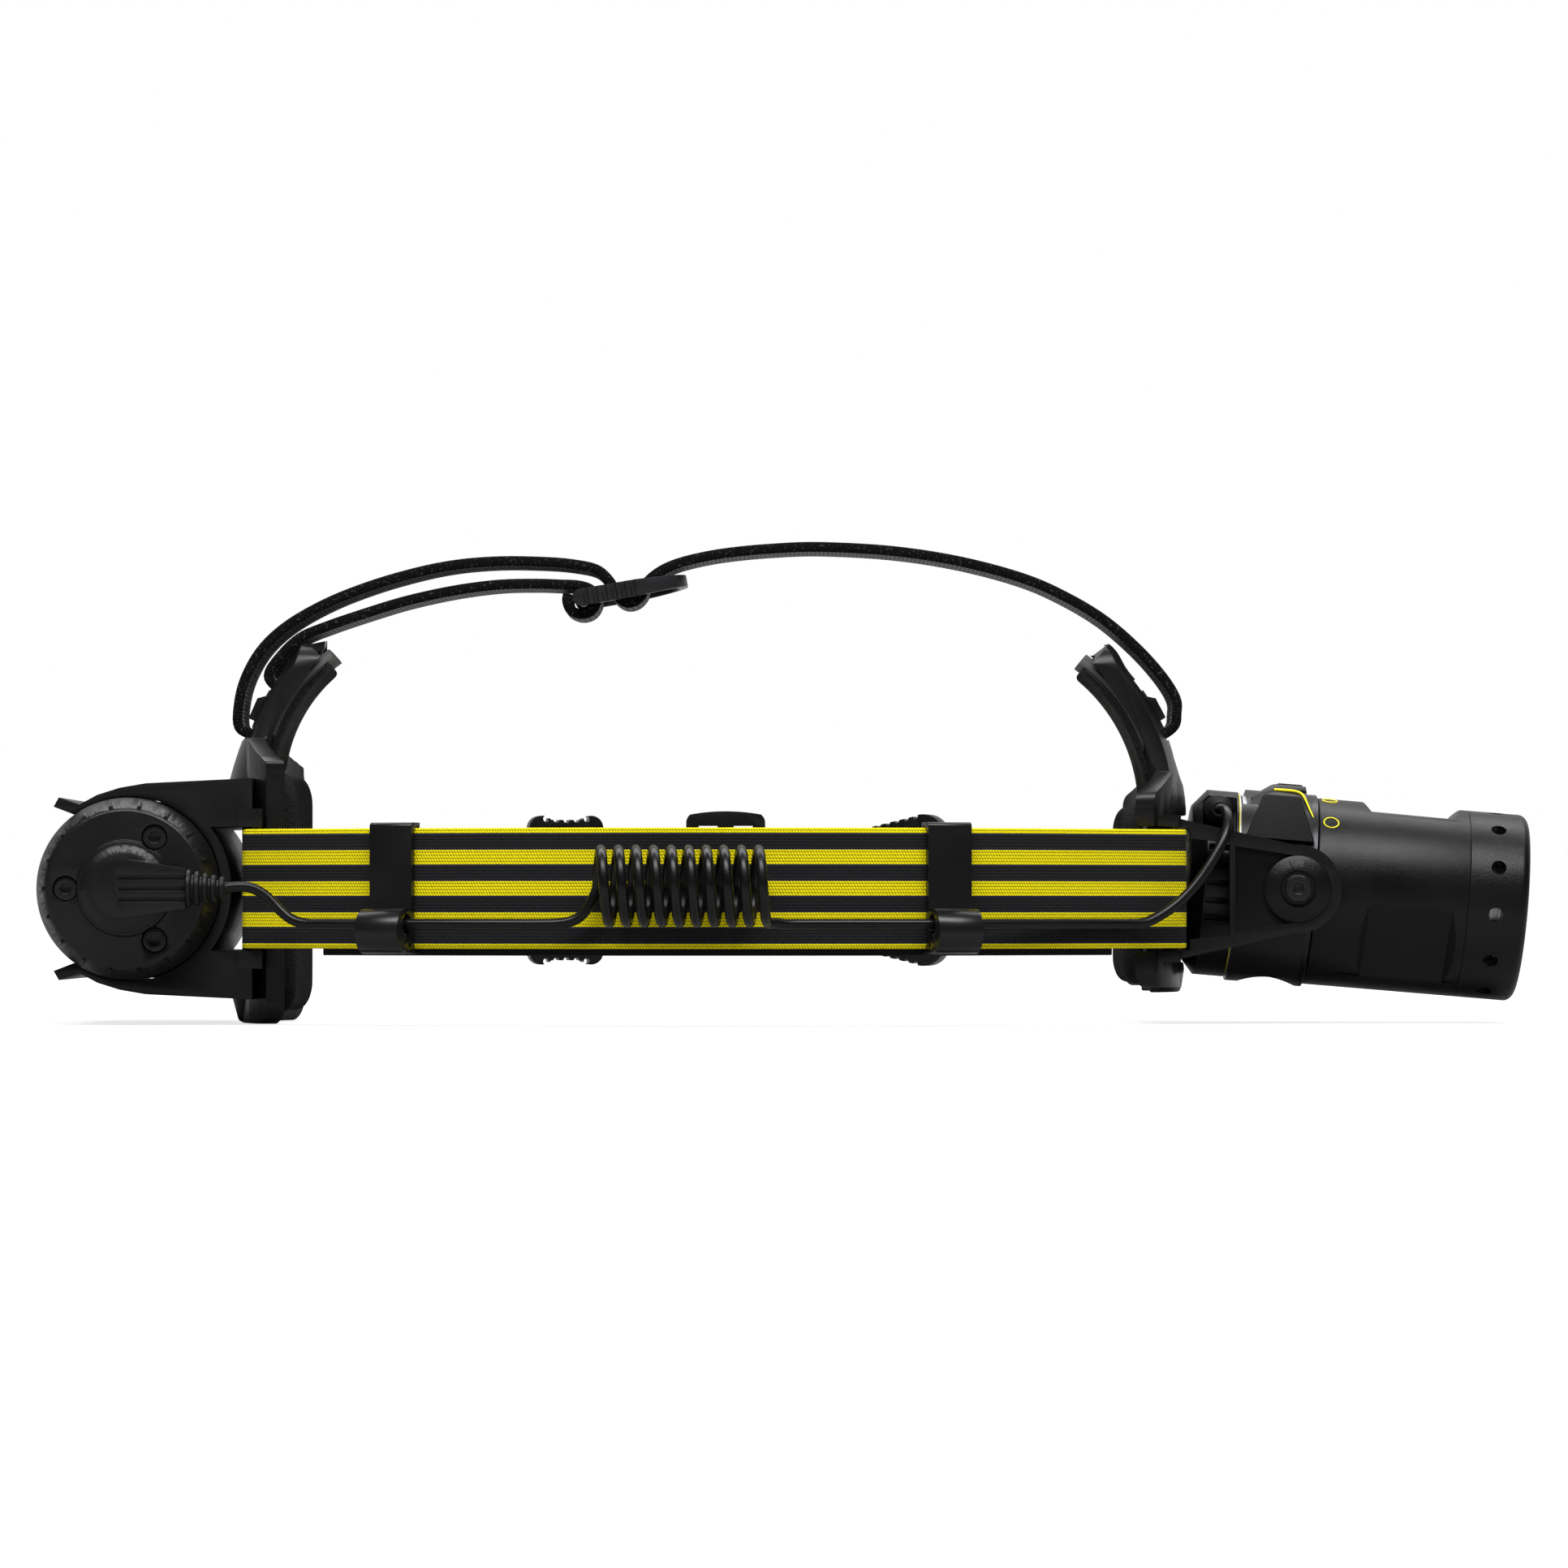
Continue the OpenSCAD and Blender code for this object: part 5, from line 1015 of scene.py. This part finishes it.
def makePad(nodeName, halfU, lowV, highV, corner, place, thick, roundR, crown, groove=None):
    profile = padProfile(thick, roundR, min(halfU, (highV - lowV) / 2), crown, groove)
    pad = padMesh(nodeName + "_foam", halfU, lowV, highV, corner, profile, place)
    dress(pad, "headgear", "foam", foamBlack)
    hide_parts(nodeName)


for nodeName, d in lowerPads.items():
    half = radians(d["half"]) * (arms[d["side"]][3] - padSeat)
    makePad(nodeName, half, d["low"], d["high"], d["corner"], lowerPadPlace(d["side"]), d["thick"],
            d["round"], d["crown"])
for nodeName, d in upperPads.items():
    armR = arms[d["side"]][2]
    makePad(nodeName, pads["upperHalf"], radians(d["low"]) * armR, radians(d["high"]) * armR,
            pads["upperCorner"], upperPadPlace(d["side"]), pads["upperThick"], pads["upperRound"],
            pads["upperCrown"], pads["groove"])
print("pads made")


# ---- turned pieces: a profile drawn point by point, then spun about its axis

def turnedPiece(name, profile, centre, axis, across, steps, angle=360):
    centre, axis, across = Vector(centre), Vector(axis), Vector(across)
    if profile[0][1] > 0:
        profile = profile + profile[:1]         # a ring, closed on itself
    trace = [(centre + axis * along + across * radius) * mm for along, radius in profile]
    piece = addShape(bpy.ops.mesh.primitive_plane_add, trace[0], size=mm)
    editAll(piece)
    bpy.ops.mesh.merge(type="CENTER")
    for before, after in zip(trace, trace[1:]):
        bpy.ops.mesh.extrude_region_move(TRANSFORM_OT_translate={"value": after - before})
    bpy.ops.mesh.select_all(action="SELECT")
    bpy.ops.mesh.spin(steps=steps, angle=radians(angle), center=centre * mm, axis=axis)
    bpy.ops.mesh.select_all(action="SELECT")
    bpy.ops.mesh.remove_doubles(threshold=2e-6)
    if angle < 360:
        bpy.ops.mesh.fill_holes(sides=0)
        bpy.ops.mesh.select_all(action="SELECT")
    bpy.ops.mesh.normals_make_consistent(inside=False)
    toMode("OBJECT")
    piece.name = piece.data.name = name
    return piece


# Strain relief: soft ribs that shrink towards the lead
relief = {"start": (-138.5, -58.5, 0.0), "length": 11.0, "ribs": 5, "big": 5.1, "small": 3.2, "leadR": 1.42,
          "ribShare": 0.62, "ribEdge": 0.25, "ribDepth": 1.35, "mouth": 3.0}
pitch, ribEdge, leadR = relief["length"] / relief["ribs"], relief["ribEdge"], relief["leadR"]
profile = [(0.02, 0.0), (0.02, relief["big"] - 0.3)]
for i in range(relief["ribs"]):
    r = relief["big"] - i * (relief["big"] - relief["small"]) / (relief["ribs"] - 1)
    start, ribEnd, core = i * pitch, i * pitch + pitch * relief["ribShare"], r - relief["ribDepth"]
    if i:
        profile.append((start, r - 0.35))
    profile += [(start + ribEdge, r), (ribEnd - ribEdge, r), (ribEnd, r - 0.3),
                (start + pitch * 0.68, core), (start + pitch * 0.94, core - 0.08)]
profile += [(relief["length"], leadR + 0.35), (relief["length"], leadR),
            (relief["length"] - relief["mouth"], leadR), (relief["length"] - relief["mouth"], 0.0)]
reliefPiece = turnedPiece("strainReliefRibbed", profile, relief["start"], (1, 0, 0), (0, 0, 1), 48)
smoothByAngle(reliefPiece, 40)
dress(reliefPiece, "battery", "soft_rubber", softRubber)
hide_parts("strain_relief")
print("strain relief made")

# Bulges of both brackets: which way each faces in degrees, and its (z, radius) profile
webs = {
    "centreX": 90.5, "half": 37.0,
    "profiles": [
        (180, [(41.8, 36.6), (40.4, 37.7), (38.0, 38.6), (34.0, 39.9), (30.0, 41.0), (25.0, 41.7),
               (25.0, 34.0), (41.8, 34.0)]),
        (180, [(-25.0, 41.7), (-30.0, 40.2), (-33.0, 39.4), (-35.6, 38.7), (-36.2, 38.0), (-36.2, 34.0),
               (-25.0, 34.0)]),
        (0, [(41.0, 34.4), (39.1, 35.2), (36.8, 36.0), (34.6, 36.75), (32.4, 37.4), (30.2, 38.1),
             (28.4, 38.8), (25.0, 39.35), (22.0, 39.6), (20.1, 39.6), (20.1, 35.5), (41.0, 33.2)]),
        (0, [(-19.9, 38.9), (-22.0, 39.1), (-26.5, 38.4), (-28.0, 37.8), (-28.0, 35.5), (-19.9, 35.5)]),
    ],
}
webPieces = []
for facing, profile in webs["profiles"]:
    startA = radians(facing + webs["half"])
    centre = (webs["centreX"] * cos(radians(facing)), 0, 0)
    across = (cos(startA), sin(startA), 0)
    web = turnedPiece("web", profile, centre, (0, 0, 1), across, 28, 2 * webs["half"])
    bevelEdges(web, 0.5)
    webPieces.append(web)
webPiece = joinPieces(webPieces, "bracketWebs")
smoothByAngle(webPiece, 40)
dress(webPiece, "headgear", "black_plastic", blackPlastic)
print("webs made")

# Raised drops around the cones of both end caps
drops = {"drumX": -155.5, "count": 18, "faceY": 51.2, "faceR": 21.75, "rimY": 46.2, "rimR": 23.65,
         "size": 0.62, "tip": 0.06, "firstA": 10}
dropStart = Vector((0, -drops["faceY"], drops["faceR"]))
dropEnd = Vector((0, -drops["rimY"], drops["rimR"]))
along = dropEnd - dropStart
firstDrop = addShape(bpy.ops.mesh.primitive_cone_add, (dropStart + along / 2) * mm, along, vertices=20,
                     radius1=drops["size"] * mm, radius2=drops["tip"] * mm, depth=along.length * mm)
bevelEdges(firstDrop, 0.3, 4, 60)
toDrum = Matrix.Translation((drops["drumX"] * mm, 0, 0))
dropPieces = []
for i in range(drops["count"] * 2):
    side = 1 if i < drops["count"] else -1
    turn = radians(drops["firstA"] + 360 / drops["count"] * i)
    drop = freshPiece("drop", firstDrop.data.copy())
    drop.matrix_world = toDrum @ Matrix.Rotation(turn, 4, "Y") @ Matrix.Diagonal((1, side, 1, 1))
    placeInMesh(drop)
    dropPieces.append(drop)
bpy.data.objects.remove(firstDrop)
dropPiece = joinPieces(dropPieces, "capDrops")
outwards(dropPiece)
smoothByAngle(dropPiece, 40)
dress(dropPiece, "battery", "black_plastic", matteBlack)
print("cap drops made")


# ---- lamp details

tilt = radians(4.75)
lampU = Vector((cos(tilt), 0, -sin(tilt)))
lampV = Vector((sin(tilt), 0, cos(tilt)))
pivot = Vector((158.5, 0, 0))


def atLamp(u, y, v):
    return pivot + lampU * u + Vector((0, y, 0)) + lampV * v


# A place on a circle round the lamp's axis, and the way out from there
def roundLamp(turn, u, radius):
    a = radians(turn)
    outward = lampV * cos(a) - Vector((0, sin(a), 0))
    return (atLamp(u, 0, 0) + outward * radius) * mm, outward


# Line of light along the switch block's near edge
lightLine = {
    "path": [(-7.1, -9.2, 26.6), (-3.7, -9.2, 26.75), (-0.9, -9.4, 26.65), (0.5, -10.1, 26.1),
             (1.4, -11.9, 24.8), (2.4, -14.2, 22.4), (3.6, -17.4, 19.8)],
    "wide": (0.44, 0.42, 0.4, 0.36, 0.3, 0.24, 0.16),
}
curve = bpy.data.curves.new("lightLine", "CURVE")
curve.dimensions = "3D"
curve.bevel_depth = mm
curve.bevel_resolution = 3
curve.use_fill_caps = True
spline = curve.splines.new("NURBS")
spline.points.add(len(lightLine["path"]) - 1)
spline.use_endpoint_u = True
spline.order_u = 3
for point, spot, wide in zip(spline.points, lightLine["path"], lightLine["wide"]):
    point.co = (*(atLamp(*spot) * mm), 1)
    point.radius = wide
linePiece = bpy.data.objects.new("lightLineGlow", curve)
scene.collection.objects.link(linePiece)
activate(linePiece)
bpy.ops.object.convert(target="MESH")
outwards(linePiece)
smoothByAngle(linePiece, 50)
dress(linePiece, "lamp", "yellow_accent", yellowTrim)
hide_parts("light_line")

# Bezel with a rolled front edge and round vents
bezel = {
    "profile": [(46.72, 22.5), (46.72, 25.38), (46.84, 25.5), (60.7, 25.5), (61.3, 25.4), (61.9, 25.1),
                (62.4, 24.65), (62.8, 24.1), (63.03, 23.5), (63.1, 22.9), (63.1, 21.0), (62.95, 20.65),
                (62.7, 20.6), (61.6, 20.6), (61.6, 22.6), (57.5, 22.6), (57.5, 22.5)],
    "vents": 12, "ventU": 54.3, "ventR": 2.05, "ventDepth": 8, "wallR": 24, "firstA": 6.0,
}
bezelPiece = turnedPiece("frontBezel", bezel["profile"], pivot, lampU, lampV, 120)
cutters = []
for i in range(bezel["vents"]):
    spot, outward = roundLamp(bezel["firstA"] + 360 / bezel["vents"] * i, bezel["ventU"], bezel["wallR"])
    cutters.append(addShape(bpy.ops.mesh.primitive_cylinder_add, spot, outward, vertices=40,
                            radius=bezel["ventR"] * mm, depth=bezel["ventDepth"] * mm))
cutterPiece = joinPieces(cutters, "ventCutters")
cut = bezelPiece.modifiers.new("vents", "BOOLEAN")
cut.operation = "DIFFERENCE"
cut.solver = "EXACT"
cut.object = cutterPiece
applyTo(bezelPiece, cut)
bpy.data.objects.remove(cutterPiece)
smoothByAngle(bezelPiece)
dress(bezelPiece, bodyOf["front_bezel"], "black_plastic", lampBlack)
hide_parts("front_bezel")
print("bezel made")

# Thin rings at both ends of the collar: yellow and bright at its rear, dark at its front
thinRings = {
    "accentRing": ([(-16.38, 24.0), (-16.38, 25.0), (-16.32, 25.08), (-16.14, 25.08), (-16.08, 25.0),
                    (-16.08, 24.0)], "yellow_accent", yellowTrim, "accent_ring"),
    "rearPolish": ([(-16.06, 24.0), (-16.06, 24.95), (-15.82, 24.95), (-15.82, 24.0)], "housing_metal",
                   brightMetal, None),
    "frontPolish": ([(3.4, 25.2), (3.4, 26.2), (3.5, 26.27), (4.95, 26.27), (5.1, 26.1), (5.1, 25.2)],
                    "dark_metal", ringMetal, None),
}
for name, (profile, slotName, finish, node) in thinRings.items():
    ring = turnedPiece(name, profile, pivot, lampU, lampV, 120)
    smoothByAngle(ring, 40)
    dress(ring, "lamp", slotName, finish)
    if node:
        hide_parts(node)

# Setting marks: three outlined rings on the sleeve
marks = {"u": 8.6, "angles": (42.5, 12.0, -18.5), "ringR": 2.0, "line": 0.19, "sleeveR": 25.48}
markPieces = []
for turn in marks["angles"]:
    spot, outward = roundLamp(turn, marks["u"], marks["sleeveR"])
    markPieces.append(addShape(bpy.ops.mesh.primitive_torus_add, spot, outward, major_segments=56,
                               minor_segments=10, major_radius=marks["ringR"] * mm,
                               minor_radius=marks["line"] * mm))
markPiece = joinPieces(markPieces, "settingMarks")
smoothByAngle(markPiece, 60)
dress(markPiece, bodyOf["focus_sleeve"], "yellow_accent", yellowTrim)

# Flat cheeks at both sides of the switch block: height, reach along the lamp and reach sideways of
# the bottom and of the top
cheek = {-1: (12.9, (-14.8, 4.0), (20.5, 24.9)), 1: (25.2, (-9.9, 0.2), (8.2, 12.6))}
for side, ending in ((-1, "Near"), (1, "Far")):
    block = addShape(bpy.ops.mesh.primitive_cube_add, (0, 0, 0), size=mm)
    for faceZ, (level, (lowU, highU), (lowY, highY)) in cheek.items():
        pick(block, "FACE", lambda face: face.normal.z * faceZ > 0.9)
        middle = Vector(((lowU + highU) / 2, side * (lowY + highY) / 2, level))
        bpy.ops.transform.resize(value=(highU - lowU, highY - lowY, 1),
                                 center_override=(0, 0, faceZ * mm / 2))
        bpy.ops.transform.translate(value=(middle - Vector((0, 0, faceZ / 2))) * mm)
    bevelEdges(block, 0.6)
    block.matrix_world = Matrix.Translation(pivot * mm) @ Matrix.Rotation(tilt, 4, "Y")
    placeInMesh(block)
    block.name = block.data.name = "switchCheek" + ending
    smoothByAngle(block, 40)
    dress(block, "lamp", "black_plastic", recessBlack)
print("lamp details made")
